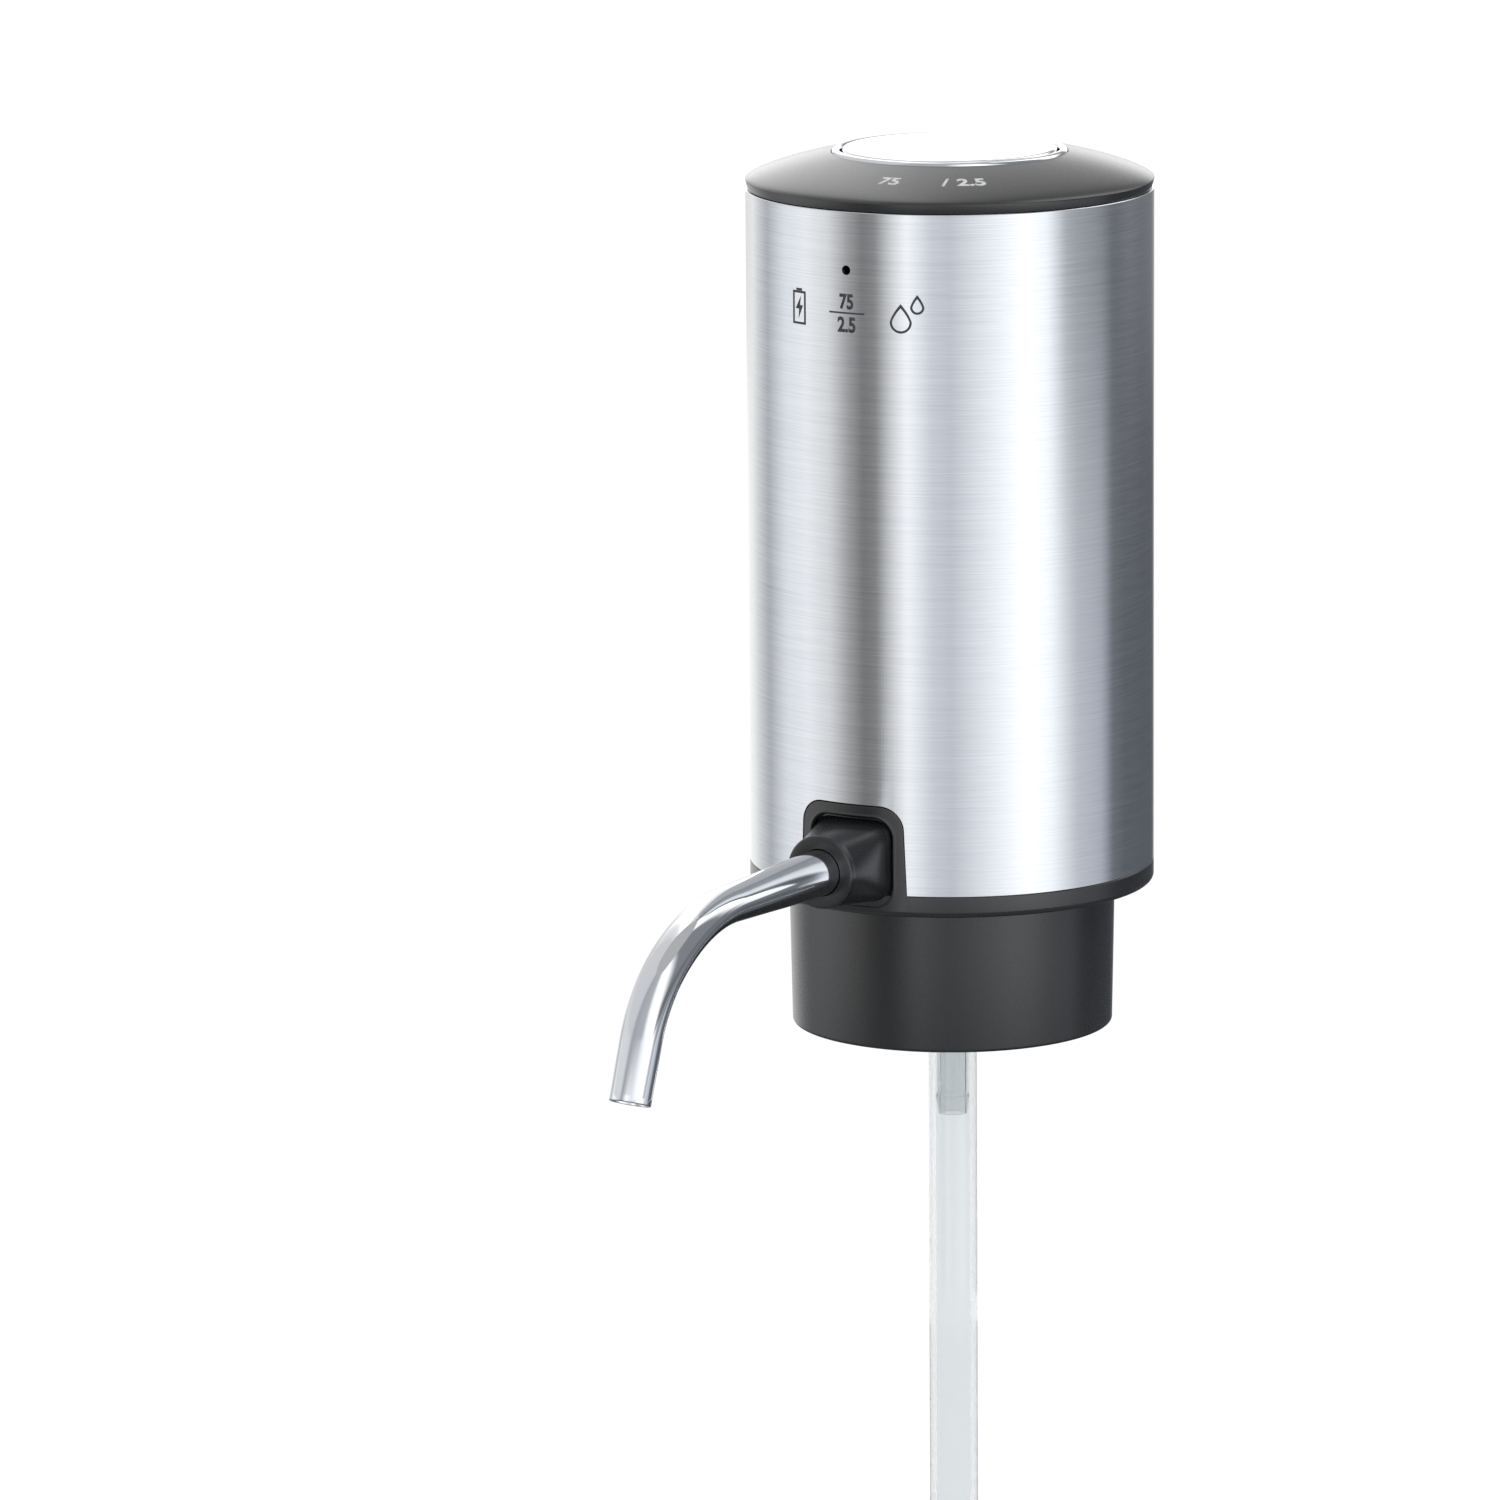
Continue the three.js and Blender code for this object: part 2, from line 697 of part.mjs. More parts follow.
function baseHousing() {
  const fillet = baseRimFillet;
  const soft = fillet * (1 - Math.SQRT1_2);
  const tub = turned(
    [
      [0, baseBottom],
      [bodyRadius - fillet, baseBottom],
      [bodyRadius - soft, baseBottom + soft],
      [bodyRadius, baseBottom + fillet],
      [bodyRadius, sleeveBottom],
      [shellSpigot, sleeveBottom],
      [shellSpigot, spigotTop],
      [baseBore, spigotTop],
      [baseBore, floorTop],
      [0, floorTop],
    ],
    wideSides,
  );
  const rim = pipe(baseBore + weldDepth, bodyRadius, sleeveBottom - weldDepth, spigotTop, wideSides);
  const panelBlock = prismForward(panelShape(0, sleeveBottom - weldDepth), 0, 2 * bodyRadius);
  const wellShape = roundedShape(0, wellZ, wellHalfWidth, wellHalfHeight, wellCorner);
  const well = cut(
    prismForward(wellShape, 0, 2 * bodyRadius),
    disc(bodyRadius - wellDepth, baseBottom - cutOverrun, spigotTop + cutOverrun, wideSides),
  );
  const screwPosts = collarScrewPlaces.map(([x, y]) =>
    rodUp(postRadius, floorTop - weldDepth, collarRoofBottom + collarScrewLength + baseFloor / 2, x, y),
  );
  const shell = cut(join(tub, common(rim, panelBlock), ...screwPosts), well);
  const sealBore = sealOuter + slipGap;
  return cut(
    join(shell, boss()),
    rodForward(sealBore, baseBore - cutOverrun, noseForward - noseWall, spoutZ, bodySides),
    rodForward(spoutRadius + slipGap, baseBore, noseForward + cutOverrun, spoutZ),
    rodUp(coreHole, baseBottom - cutOverrun, floorTop + cutOverrun, 0, 0),
    ...collarScrewPlaces.map(([x, y]) =>
      screwHole("large", collarRoofBottom, collarScrewLength, x, y),
    ),
    ...baseScrewPlaces.map(([x, y]) => screwHole("large", baseBottom, baseFloor, x, y)),
    ...baseScrewPlaces.map(([x, y]) =>
      screwSeat("large", baseBottom, baseBottom + screwHeadHeight, x, y),
    ),
    ...channelScrewPlaces.map(([x, y]) => screwHole("small", baseBottom, baseFloor, x, y)),
    ...channelScrewPlaces.map(([x, y]) =>
      screwSeat("small", baseBottom, baseBottom + smallHeadHeight, x, y),
    ),
  );
}

function outerSleeve() {
  const usbZ = chassisFloor + usbRise + usbBoard + usbHeight / 2;
  const slot = roundedShape(
    0,
    usbZ,
    usbHalfWidth + usbSlotGap,
    usbHeight / 2 + usbSlotGap,
    (usbHeight / 2 + usbSlotGap) * roundShare,
  );
  return cut(
    pipe(sleeveBore, bodyRadius, sleeveBottom, sleeveTop, wideSides),
    prismForward(panelShape(slipGap, sleeveBottom - cutOverrun), 0, 2 * bodyRadius),
    rodForward(lightHole, 0, 2 * bodyRadius, lightZ, tinySides),
    prismForward(slot, -2 * bodyRadius, 0),
  );
}

function neckCollar() {
  const bore = collarBottomRadius - collarWall;
  const shell = turnedRing(
    [
      [coreHole, collarRoofBottom],
      [bore, collarRoofBottom],
      [bore, collarBottom],
      [collarBottomRadius - collarEdge, collarBottom],
      [collarBottomRadius, collarBottom + collarEdge],
      [collarTopRadius, baseBottom],
      [coreHole, baseBottom],
    ],
    wideSides,
  );
  return cut(
    shell,
    ...collarScrewPlaces.map(([x, y]) => screwHole("large", collarRoofBottom, collarRoof, x, y)),
  );
}

// The stopper: a flange on the neck's rim, a bead under it and a tapered plug with ribs
function stopper() {
  const top = collarRoofBottom - freeGap;
  const steps = stopperRibs * 2;
  const profile = [];
  for (let step = 0; step <= steps; step += 1) {
    const share = step / steps;
    const radius = THREE.MathUtils.lerp(stopperTipRadius, stopperTopRadius, share);
    const rib = step % 2 ? stopperRib : 0;
    profile.push([radius + rib, THREE.MathUtils.lerp(-stopperLength, -stopperShoulder, share)]);
  }
  const bead = stopperTopRadius + stopperRib;
  return turnedRing([
    [coreHole, -stopperLength],
    ...profile,
    [bead, -stopperShoulder],
    [bead, 0],
    [stopperFlangeRadius, 0],
    [stopperFlangeRadius, top],
    [coreHole, top],
  ]);
}

function drinkChannel() {
  const nippleEnd = -coreDepth - nippleLength;
  const barbStep = nippleLength / 4;
  const groove = ringWire + slipGap;
  const core = turned([
    [0, nippleEnd],
    [nippleRadius - 2 * nippleBarb, nippleEnd],
    [nippleRadius + nippleBarb, nippleEnd + barbStep],
    [nippleRadius - nippleBarb, nippleEnd + barbStep],
    [nippleRadius - nippleBarb, -coreDepth],
    [coreRadius, -coreDepth],
    [coreRadius, -coreRingDepth - groove],
    [coreRadius - 2 * ringWire - slipGap, -coreRingDepth - groove],
    [coreRadius - 2 * ringWire - slipGap, -coreRingDepth + groove],
    [coreRadius, -coreRingDepth + groove],
    [coreRadius, floorTop],
    [channelFlangeRadius, floorTop],
    [channelFlangeRadius, flangeTop],
    [0, flangeTop],
  ]);
  const socketFloor = noseForward - spoutInside - freeGap;
  const duct = rodForward(ductRadius, 0, ductMouth, spoutZ, bodySides);
  const elbow = rodUp(ductRadius - weldDepth, flangeTop - weldDepth, spoutZ, 0, 0, bodySides);
  const dome = new THREE.SphereGeometry(ductRadius - weldDepth / 2, smallSides, tinySides);
  const airBlock = block(
    -airBlockHalfWidth,
    airBlockHalfWidth,
    airOffset - airBlockDepth / 2,
    airOffset + airBlockDepth / 2,
    flangeTop - weldDepth,
    airZ + barbRadius,
  );
  const barbEnd = airBlockHalfWidth + barbLength;
  const solid = join(
    core,
    duct,
    elbow,
    dome.translate(0, 0, spoutZ),
    airBlock,
    rodAcross(barbRadius, -barbEnd, barbEnd, airOffset, airZ),
  );
  const ringAt = ductMouth - spoutRingInset;
  return cut(
    solid,
    rodUp(drinkBore, nippleEnd - cutOverrun, spoutZ, 0, 0),
    rodForward(drinkBore, -drinkBore, ductMouth, spoutZ),
    rodForward(spoutRadius + slipGap, socketFloor, ductMouth + cutOverrun, spoutZ),
    rodForward(spoutRadius + 2 * ringWire + 2 * slipGap, ringAt - groove, ringAt + groove, spoutZ),
    rodUp(airBore, -coreDepth - cutOverrun, airZ, 0, airOffset, tinySides),
    block(
      -airBore,
      airBore,
      airOffset,
      coreRadius + cutOverrun,
      -coreDepth - cutOverrun,
      airSlot - coreDepth,
    ),
    rodAcross(airBore, -barbEnd - cutOverrun, barbEnd + cutOverrun, airOffset, airZ, tinySides),
    ...channelScrewPlaces.map(([x, y]) =>
      screwHole("small", floorTop, channelScrewLength - baseFloor + smallHeadHeight, x, y),
    ),
  );
}

// The spout's centre line, as forward and downward distances from the nose
function spoutPath() {
  const centres = [];
  const tangents = [];
  const place = (forward, drop, pitch) => {
    centres.push(new THREE.Vector3(0, -(noseForward + forward), spoutZ - drop));
    tangents.push(new THREE.Vector3(0, -Math.cos(pitch), -Math.sin(pitch)));
  };
  place(-spoutInside, 0, 0);
  place(0, 0, 0);
  const straightSteps = 3;
  for (let step = 1; step <= straightSteps; step += 1)
    place((spoutStraight * step) / straightSteps, 0, 0);
  let forward = spoutStraight;
  let drop = 0;
  let pitch = 0;
  const bends = [[spoutFirstBend, spoutFirstAngle], [spoutSecondBend, spoutSecondAngle]];
  for (const [radius, angle] of bends) {
    const steps = 6;
    const start = pitch;
    const centreForward = forward - radius * Math.sin(start);
    const centreDrop = drop + radius * Math.cos(start);
    for (let step = 1; step <= steps; step += 1) {
      pitch = start + (angle * step) / steps;
      forward = centreForward + radius * Math.sin(pitch);
      drop = centreDrop - radius * Math.cos(pitch);
      place(forward, drop, pitch);
    }
  }
  const endSteps = 2;
  for (let step = 1; step <= endSteps; step += 1) {
    const along = (spoutEnd * step) / endSteps;
    place(forward + along * Math.cos(pitch), drop + along * Math.sin(pitch), pitch);
  }
  return { centres, tangents };
}

// The spout: round where it is held, drawn thinner to its tip, and flattened by the bend
function spoutTube() {
  const { centres, tangents } = spoutPath();
  const lengths = [0];
  for (let i = 1; i < centres.length; i += 1)
    lengths.push(lengths[i - 1] + centres[i].distanceTo(centres[i - 1]));
  const total = lengths[lengths.length - 1];
  const free = (i) => Math.max(0, lengths[i] - spoutInside) / (total - spoutInside);
  const pinchPeak = (spoutStraight + (spoutFirstBend * spoutFirstAngle) / 2) / (total - spoutInside);
  const pinch = (i) => {
    const share = free(i);
    const nearness = share < pinchPeak ? share / pinchPeak : (1 - share) / (1 - pinchPeak);
    return spoutPinch * THREE.MathUtils.smoothstep(nearness, 0, 1);
  };
  const radius = (i) => THREE.MathUtils.lerp(spoutRadius, spoutTipRadius, free(i));
  const sideways = new THREE.Vector3(1, 0, 0);
  const wall = (inset) => ({
    up: () => sideways,
    side: (i) => radius(i) - pinch(i) - inset,
    height: (i) => radius(i) + pinch(i) / 4 - inset,
  });
  const outside = sweep(centres, tangents, wall(0), spoutSides);
  const boreCentres = centres.map((centre) => centre.clone());
  boreCentres[0].addScaledVector(tangents[0], -cutOverrun);
  boreCentres[centres.length - 1].addScaledVector(tangents[centres.length - 1], cutOverrun);
  return cut(outside, sweep(boreCentres, tangents, wall(spoutWall), spoutSides));
}

function spoutSeal() {
  const mouth = noseForward - noseWall - freeGap;
  return cut(
    rodForward(sealOuter, baseBore, mouth, spoutZ, bodySides),
    rodForward(spoutRadius + slipGap, baseBore - cutOverrun, mouth + cutOverrun, spoutZ),
  );
}

function intakeTube() {
  const inner = nippleRadius + slipGap;
  const outer = inner + strawWall;
  const top = -coreDepth - freeGap;
  const bottom = top - strawLength;
  const slant = new THREE.Shape();
  slant.moveTo(-outer - cutOverrun, bottom - cutOverrun);
  slant.lineTo(outer + cutOverrun, bottom - cutOverrun);
  slant.lineTo(outer + cutOverrun, bottom + strawBevel);
  slant.lineTo(-outer - cutOverrun, bottom);
  return cut(
    pipe(inner, outer, bottom, top),
    prismForward(slant, -2 * outer, 2 * outer),
  );
}

function ringAround(radius, sides = bodySides) {
  return new THREE.TorusGeometry(radius, ringWire, ringFacets, sides);
}

// A hose from one barb to another: a straight lead, a bend and a straight lead, with its bore
function hose(from, fromOut, to, toOut, lead, pull) {
  const route = (overrun) => {
    const start = from.clone().addScaledVector(fromOut, lead);
    const end = to.clone().addScaledVector(toOut, lead);
    const path = new THREE.CurvePath();
    path.add(new THREE.LineCurve3(from.clone().addScaledVector(fromOut, -overrun), start));
    const startPull = start.clone().addScaledVector(fromOut, pull);
    const endPull = end.clone().addScaledVector(toOut, pull);
    path.add(new THREE.CubicBezierCurve3(start, startPull, endPull, end));
    path.add(new THREE.LineCurve3(end, to.clone().addScaledVector(toOut, -overrun)));
    return path;
  };
  const tube = (radius, extrudePath) => {
    const section = new THREE.Shape().absarc(0, 0, radius, 0, 2 * Math.PI, false);
    return new THREE.ExtrudeGeometry(section, { steps: hoseSteps, curveSegments: hoseFacets, extrudePath });
  };
  return cut(tube(hoseRadius, route(0)), tube(hoseBore, route(cutOverrun)));
}

// A helical spring as one unbroken wire; its least gap to itself is measured and printed
function helix(name, radius, wire, turns, low, high) {
  const stepsPerTurn = 8;
  const steps = Math.round(turns * stepsPerTurn);
  const bottom = low + wire;
  const rise = high - wire - bottom;
  const centres = [];
  const tangents = [];
  for (let step = 0; step <= steps; step += 1) {
    const angle = (2 * Math.PI * step) / stepsPerTurn;
    const height = bottom + (rise * step) / steps;
    centres.push(new THREE.Vector3(radius * Math.cos(angle), radius * Math.sin(angle), height));
    const climb = rise / (2 * Math.PI * turns);
    tangents.push(new THREE.Vector3(-radius * Math.sin(angle), radius * Math.cos(angle), climb));
  }
  let least = Infinity;
  for (let i = 0; i <= steps; i += 1)
    for (let j = i + stepsPerTurn / 2; j <= steps; j += 1)
      least = Math.min(least, centres[i].distanceTo(centres[j]) - 2 * wire);
  console.log(`${name}: least gap between turns ${least.toFixed(2)} mm`);
  const upright = new THREE.Vector3(0, 0, 1);
  const section = { up: () => upright, side: () => wire, height: () => wire };
  return sweep(centres, tangents, section, springFacets);
}

const batteryBottom = chassisFloor + batteryPad + batteryTab;
const batteryTop = batteryBottom + batteryLength;
const usbBottom = chassisFloor + usbRise;
const usbTop = usbBottom + usbBoard;
const usbMouth = sleeveBore - freeGap;
const usbEdge = usbMouth - usbEdgeInset;
const usbPostY = usbEdge - usbBoardLength + usbPostInset;

// Heights of the pump, from its cover up
const pumpCoverTop = chassisFloor + pumpCoverHeight;
const sheetBottom = pumpCoverTop + valvePlateHeight;
const sheetTop = sheetBottom + diaphragmSheet;
const motorBottom = sheetTop + pumpFrameHeight;
const motorTop = motorBottom + motorLength;
const wobbleZ = sheetTop + wobbleRise;
const cylinderAngles = Array.from(
  { length: cylinderCount },
  (_, i) => cylinderTurn + (2 * Math.PI * i) / cylinderCount,
);
const pumpScrewAngles = cylinderAngles.map((angle) => angle + Math.PI / cylinderCount);

function chassisFrame() {
  const webRight = chassisWebX + chassisPlate;
  const floor = disc(chassisRadius, chassisBottom, chassisFloor, wideSides);
  const roof = disc(topDiscRadius, chassisTopUnder, chassisTop, wideSides);
  const web = block(
    chassisWebX,
    webRight,
    -chassisWebHalfDepth,
    chassisWebHalfDepth,
    chassisFloor - weldDepth,
    chassisTopUnder + weldDepth,
  );
  const posts = baseScrewPlaces.map(([x, y]) =>
    rodUp(postRadius, floorTop, chassisBottom + weldDepth, x, y),
  );
  const usbPost = join(
    rodUp(usbPostRadius, chassisFloor - weldDepth, usbBottom, 0, usbPostY),
    rodUp(usbPegRadius, usbBottom - weldDepth, usbTop + usbPegOut, 0, usbPostY, tinySides),
  );
  const boardPosts = boardScrewPlaces.map(([x, y]) =>
    rodUp(postRadius, chassisTopUnder - chassisPlate, chassisTopUnder + weldDepth, x, y),
  );
  const cradle = batteryRadius + freeGap;
  const batteryClips = clipShares.map((share) => {
    const low = batteryBottom + share * batteryLength - clipHeight / 2;
    const high = low + clipHeight;
    const ring = pipe(cradle, cradle + clipWall, low, high).translate(batteryX, 0, 0);
    const mouth = batteryX + batteryRadius * clipMouthShare;
    const link = block(webRight - weldDepth, batteryX, -clipHeight, clipHeight, low, high);
    return cut(
      join(ring, link),
      block(mouth, 2 * bodyRadius, -bodyRadius, bodyRadius, low - cutOverrun, high + cutOverrun),
      disc(cradle, low - cutOverrun, high + cutOverrun).translate(batteryX, 0, 0),
    );
  });
  const grip = motorRadius + freeGap;
  const gripLow = motorBottom + motorLength * motorClipShare - clipHeight / 2;
  const gripHigh = gripLow + clipHeight;
  const motorClip = cut(
    join(
      pipe(grip, grip + clipWall, gripLow, gripHigh).translate(pumpX, 0, 0),
      block(pumpX, chassisWebX + weldDepth, -clipHeight, clipHeight, gripLow, gripHigh),
    ),
    disc(grip, gripLow - cutOverrun, gripHigh + cutOverrun).translate(pumpX, 0, 0),
    block(
      -2 * bodyRadius,
      pumpX - motorRadius * clipMouthShare,
      -bodyRadius,
      bodyRadius,
      gripLow - cutOverrun,
      gripHigh + cutOverrun,
    ),
  );
  const through = [[pumpX, 0], [ventX, ventY]].map(([x, y]) =>
    rodUp(barbRadius + freeGap, chassisBottom - cutOverrun, chassisFloor + cutOverrun, x, y),
  );
  return cut(
    join(floor, roof, web, ...posts, usbPost, ...boardPosts, ...batteryClips, motorClip),
    ...through,
    ...baseScrewPlaces.map(([x, y]) =>
      screwHole("large", floorTop, baseScrewLength - baseFloor + screwHeadHeight, x, y),
    ),
    ...boardScrewPlaces.map(([x, y]) =>
      rodUp(screwShank + slipGap, boardTop - boardScrewLength - freeGap, boardTop, x, y, tinySides),
    ),
  );
}

// Pieces of the pump are drawn round its own axis; the groups below carry them into place
const pumpScrewPlaces = around(pumpBossReach, pumpScrewAngles);
const pumpScrewHoles = (low, high) =>
  pumpScrewPlaces.map(([x, y]) =>
    rodUp(smallShank + slipGap, low - cutOverrun, high, x, y, tinySides),
  );

function pumpCover() {
  const nippleEnd = chassisFloor - pumpNippleLength;
  return cut(
    join(
      disc(pumpRadius, chassisFloor, pumpCoverTop),
      disc(barbRadius, nippleEnd, chassisFloor + weldDepth, smallSides),
    ),
    disc(airBore, nippleEnd - cutOverrun, pumpCoverTop, smallSides),
    disc(pumpChamberRadius, pumpCoverTop - pumpChamberDepth, pumpCoverTop + cutOverrun),
    ...pumpScrewHoles(chassisFloor, pumpCoverTop + cutOverrun),
    ...pumpScrewPlaces.map(([x, y]) =>
      screwSeat("small", chassisFloor, chassisFloor + smallHeadHeight, x, y),
    ),
  );
}

function valvePlate() {
  const low = pumpCoverTop - cutOverrun;
  const high = sheetBottom + cutOverrun;
  const outlets = around(valveHoleReach, cylinderAngles);
  const inlets = around(cupReach, cylinderAngles);
  return cut(
    disc(pumpRadius, pumpCoverTop, sheetBottom),
    ...[...outlets, ...inlets].map(([x, y]) => rodUp(valveHole, low, high, x, y, tinySides)),
    disc(umbrellaStem + slipGap, low, high, smallSides),
    ...pumpScrewHoles(pumpCoverTop, high),
  );
}

// The rubber umbrella that lets the air out of the cups but not back
function outletValve() {
  const low = pumpCoverTop - umbrellaHeight;
  return turned(
    [
      [0, low],
      [umbrellaRadius, low + umbrellaHeight / 2],
      [umbrellaRadius, pumpCoverTop],
      [umbrellaStem, pumpCoverTop],
      [umbrellaStem, sheetBottom],
      [0, sheetBottom],
    ],
    smallSides,
  );
}

// The rubber sheet with its three cups. Each cup's top follows the arm that works it.
function diaphragm() {
  const cups = around(cupReach, cylinderAngles).map(([x, y]) => {
    const armUnder =
      wobbleZ - x * Math.sin(wobbleTilt) - (wobbleArm / 2) * Math.cos(wobbleTilt);
    const top = armUnder - cupTopGap;
    const cup = turned(
      [
        [0, sheetBottom + weldDepth],
        [cupRadius, sheetBottom + weldDepth],
        [cupRadius, sheetTop],
        [cupTopRadius, top],
        [cupNubRadius, top],
        [cupNubRadius, top + cupNubHeight],
        [0, top + cupNubHeight],
      ],
      smallSides,
    );
    const hollow = turned(
      [
        [0, sheetBottom - cutOverrun],
        [cupRadius - diaphragmSkin, sheetBottom - cutOverrun],
        [cupRadius - diaphragmSkin, sheetTop],
        [cupTopRadius - diaphragmSkin, top - diaphragmSkin],
        [0, top - diaphragmSkin],
      ],
      smallSides,
    );
    return { cup: cup.translate(x, y, 0), hollow: hollow.translate(x, y, 0) };
  });
  return cut(
    join(disc(pumpRadius, sheetBottom, sheetTop), ...cups.map(({ cup }) => cup)),
    ...cups.map(({ hollow }) => hollow),
    ...pumpScrewHoles(sheetBottom, sheetTop + cutOverrun),
  );
}

function pumpFrame() {
  const bore = pumpRadius - pumpFrameWall;
  const tube = pipe(bore, pumpRadius, sheetTop, motorBottom);
  const roof = disc(bore + weldDepth, motorBottom - pumpFrameRoof, motorBottom);
  const bosses = pumpScrewPlaces.map(([x, y]) =>
    rodUp(pumpBossRadius, sheetTop, sheetTop + pumpBossHeight, x, y),
  );
  const low = sheetTop + pumpWindowRise;
  const windows = cylinderAngles.map((angle) =>
    block(0, 2 * pumpRadius, -pumpWindowWidth / 2, pumpWindowWidth / 2, low, low + pumpWindowHeight)
      .rotateZ(angle),
  );
  return cut(
    join(tube, roof, ...bosses),
    disc(motorNoseRadius + slipGap, motorBottom - pumpFrameRoof - cutOverrun, motorBottom + cutOverrun),
    ...windows,
    ...pumpScrewHoles(sheetTop, sheetTop + pumpBossHeight - cutOverrun),
  );
}

// The leaning pin, the plate on it and their hole in the crank share one tilted axis
function wobbleHub() {
  const eyes = around(cupReach / Math.cos(wobbleTilt), cylinderAngles);
  const arms = cylinderAngles.map((angle) =>
    block(0, cupReach, -wobbleArmHalfWidth, wobbleArmHalfWidth, -wobbleArm / 2, wobbleArm / 2)
      .rotateZ(angle),
  );
  return cut(
    join(
      disc(wobbleHubRadius, -wobbleHubDown, wobbleHubUp, smallSides),
      ...arms,
      ...eyes.map(([x, y]) => rodUp(wobbleEye, -wobbleArm / 2, wobbleArm / 2, x, y)),
    ),
    disc(pinRadius + slipGap, -wobbleHubDown - cutOverrun, wobbleHubUp + cutOverrun, smallSides),
    ...eyes.map(([x, y]) => rodUp(wobbleEyeHole, -wobbleArm, wobbleArm, x, y)),
  );
}

function crank() {
  const low = wobbleZ + crankRise;
  const high = low + crankHeight;
  const pinHole = disc(pinRadius + slipGap, 0, pinUp + freeGap, smallSides)
    .rotateY(wobbleTilt)
    .translate(0, 0, wobbleZ);
  const shaftHole = disc(shaftRadius + slipGap, high - shaftGrip, high + cutOverrun, smallSides);
  return cut(disc(crankRadius, low, high), pinHole, shaftHole);
}

function motorCan() {
  const nose = motorBottom - motorNose;
  const bore = motorRadius - motorWall;
  return turnedRing([
    [bushRadius + slipGap, nose],
    [motorNoseRadius, nose],
    [motorNoseRadius, motorBottom],
    [motorRadius, motorBottom],
    [motorRadius, motorTop],
    [bore, motorTop],
    [bore, motorBottom + motorWall],
    [bushRadius + slipGap, motorBottom + motorWall],
  ]);
}

function motorCap() {
  const terminals = [-1, 1].map((side) =>
    block(
      side * terminalReach - terminalThickness / 2,
      side * terminalReach + terminalThickness / 2,
      -terminalWidth / 2,
      terminalWidth / 2,
      motorTop,
      motorTop + terminalHeight,
    ),
  );
  const hubTop = motorTop + motorCapHeight + motorCapHub;
  const plate = turned([
    [0, motorTop],
    [motorRadius, motorTop],
    [motorRadius, motorTop + motorCapHeight],
    [motorCapHubRadius, motorTop + motorCapHeight],
    [motorCapHubRadius, hubTop],
    [0, hubTop],
  ]);
  const bearing = disc(shaftRadius + slipGap, motorTop - cutOverrun, hubTop - motorWall, smallSides);
  return cut(join(plate, ...terminals), bearing);
}

// The rotor: shaft, a stack with three poles and their coils, and the commutator
function rotor() {
  const shaftLow = wobbleZ + crankRise + crankHeight - shaftGrip + freeGap;
  const shaftHigh = motorTop + motorCapHeight + motorCapHub - motorWall - freeGap;
  const stackLow = motorBottom + armatureMargin;
  const stackHigh = motorTop - armatureMargin;
  const reach = motorRadius - motorWall - freeGap - magnetThickness - poleGap;
  const poles = Array.from({ length: poleCount }, (_, i) => (2 * Math.PI * i) / poleCount);
  const shoes = poles.map((angle) =>
    arcSlice(reach - poleShoe, reach, angle, poleAngle, stackLow, stackHigh),
  );
  const necks = poles.map((angle) =>
    block(0, reach - poleShoe / 2, -poleNeck / 2, poleNeck / 2, stackLow, stackHigh).rotateZ(angle),
  );
  const coils = poles.map((angle) =>
    block(
      0,
      reach - poleShoe,
      -coilHalfWidth,
      coilHalfWidth,
      stackLow - coilInset,
      stackHigh + coilInset,
    ).rotateZ(angle),
  );
  return join(
    disc(shaftRadius, shaftLow, shaftHigh, smallSides),
    ...shoes,
    ...necks,
    ...coils,
    disc(commutatorRadius, stackHigh, stackHigh + commutatorHeight, smallSides),
  );
}

function magnet(angle) {
  const outer = motorRadius - motorWall - freeGap;
  const low = motorBottom + magnetMargin;
  return arcSlice(outer - magnetThickness, outer, angle, magnetAngle, low, motorTop - magnetMargin);
}

function batteryCell() {
  const groove = batteryTop - batteryCrimpDrop;
  return turned([
    [0, batteryBottom],
    [batteryRadius, batteryBottom],
    [batteryRadius, groove - batteryCrimp],
    [batteryRadius - batteryCrimp, groove],
    [batteryRadius, groove + batteryCrimp],
    [batteryRadius, batteryTop - batteryShoulder],
    [batteryRadius - batteryShoulder, batteryTop - batteryShoulder],
    [batteryButton, batteryTop - batteryShoulder],
    [batteryButton, batteryTop],
    [0, batteryTop],
  ]);
}

function batteryStrip(low) {
  const half = batteryTabWidth / 2;
  return block(-half, batteryTabLength - half, -half, half, low, low + batteryTab);
}

function ventBody() {
  const nippleEnd = chassisFloor - pumpNippleLength;
  const top = chassisFloor + ventBase;
  const port = rodAcross(ventPortRadius, 0, ventRadius + ventPortLength, 0, top - ventBase / 3);
  return cut(
    join(
      disc(ventRadius, chassisFloor, top),
      disc(barbRadius, nippleEnd, chassisFloor + weldDepth, smallSides),
      port,
    ),
    disc(ventChamber, chassisFloor + ventFloor, top + cutOverrun),
    disc(airBore, nippleEnd - cutOverrun, top, smallSides),
    rodAcross(ventPort, 0, ventRadius + ventPortLength + cutOverrun, 0, top - ventBase / 3, tinySides),
  );
}

function ventCoil() {
  const low = chassisFloor + ventBase;
  return pipe(ventPlungerRadius + freeGap, ventRadius, low, low + ventCoilHeight);
}

// The fixed core closes the coil's bore; the plunger stops against it when the valve opens
function ventCore() {
  const top = chassisFloor + ventBase + ventCoilHeight;
  const rise = ventPlungerTop() + ventTravel + freeGap;
  return turned([
    [0, rise],
    [ventPlungerRadius, rise],
    [ventPlungerRadius, top],
    [ventRadius, top],
    [ventRadius, top + ventCap],
    [0, top + ventCap],
  ]);
}

function ventPlungerBottom() {
  return chassisFloor + ventFloor + ventSeatGap;
}

function ventPlungerTop() {
  return ventPlungerBottom() + ventPlungerLength;
}

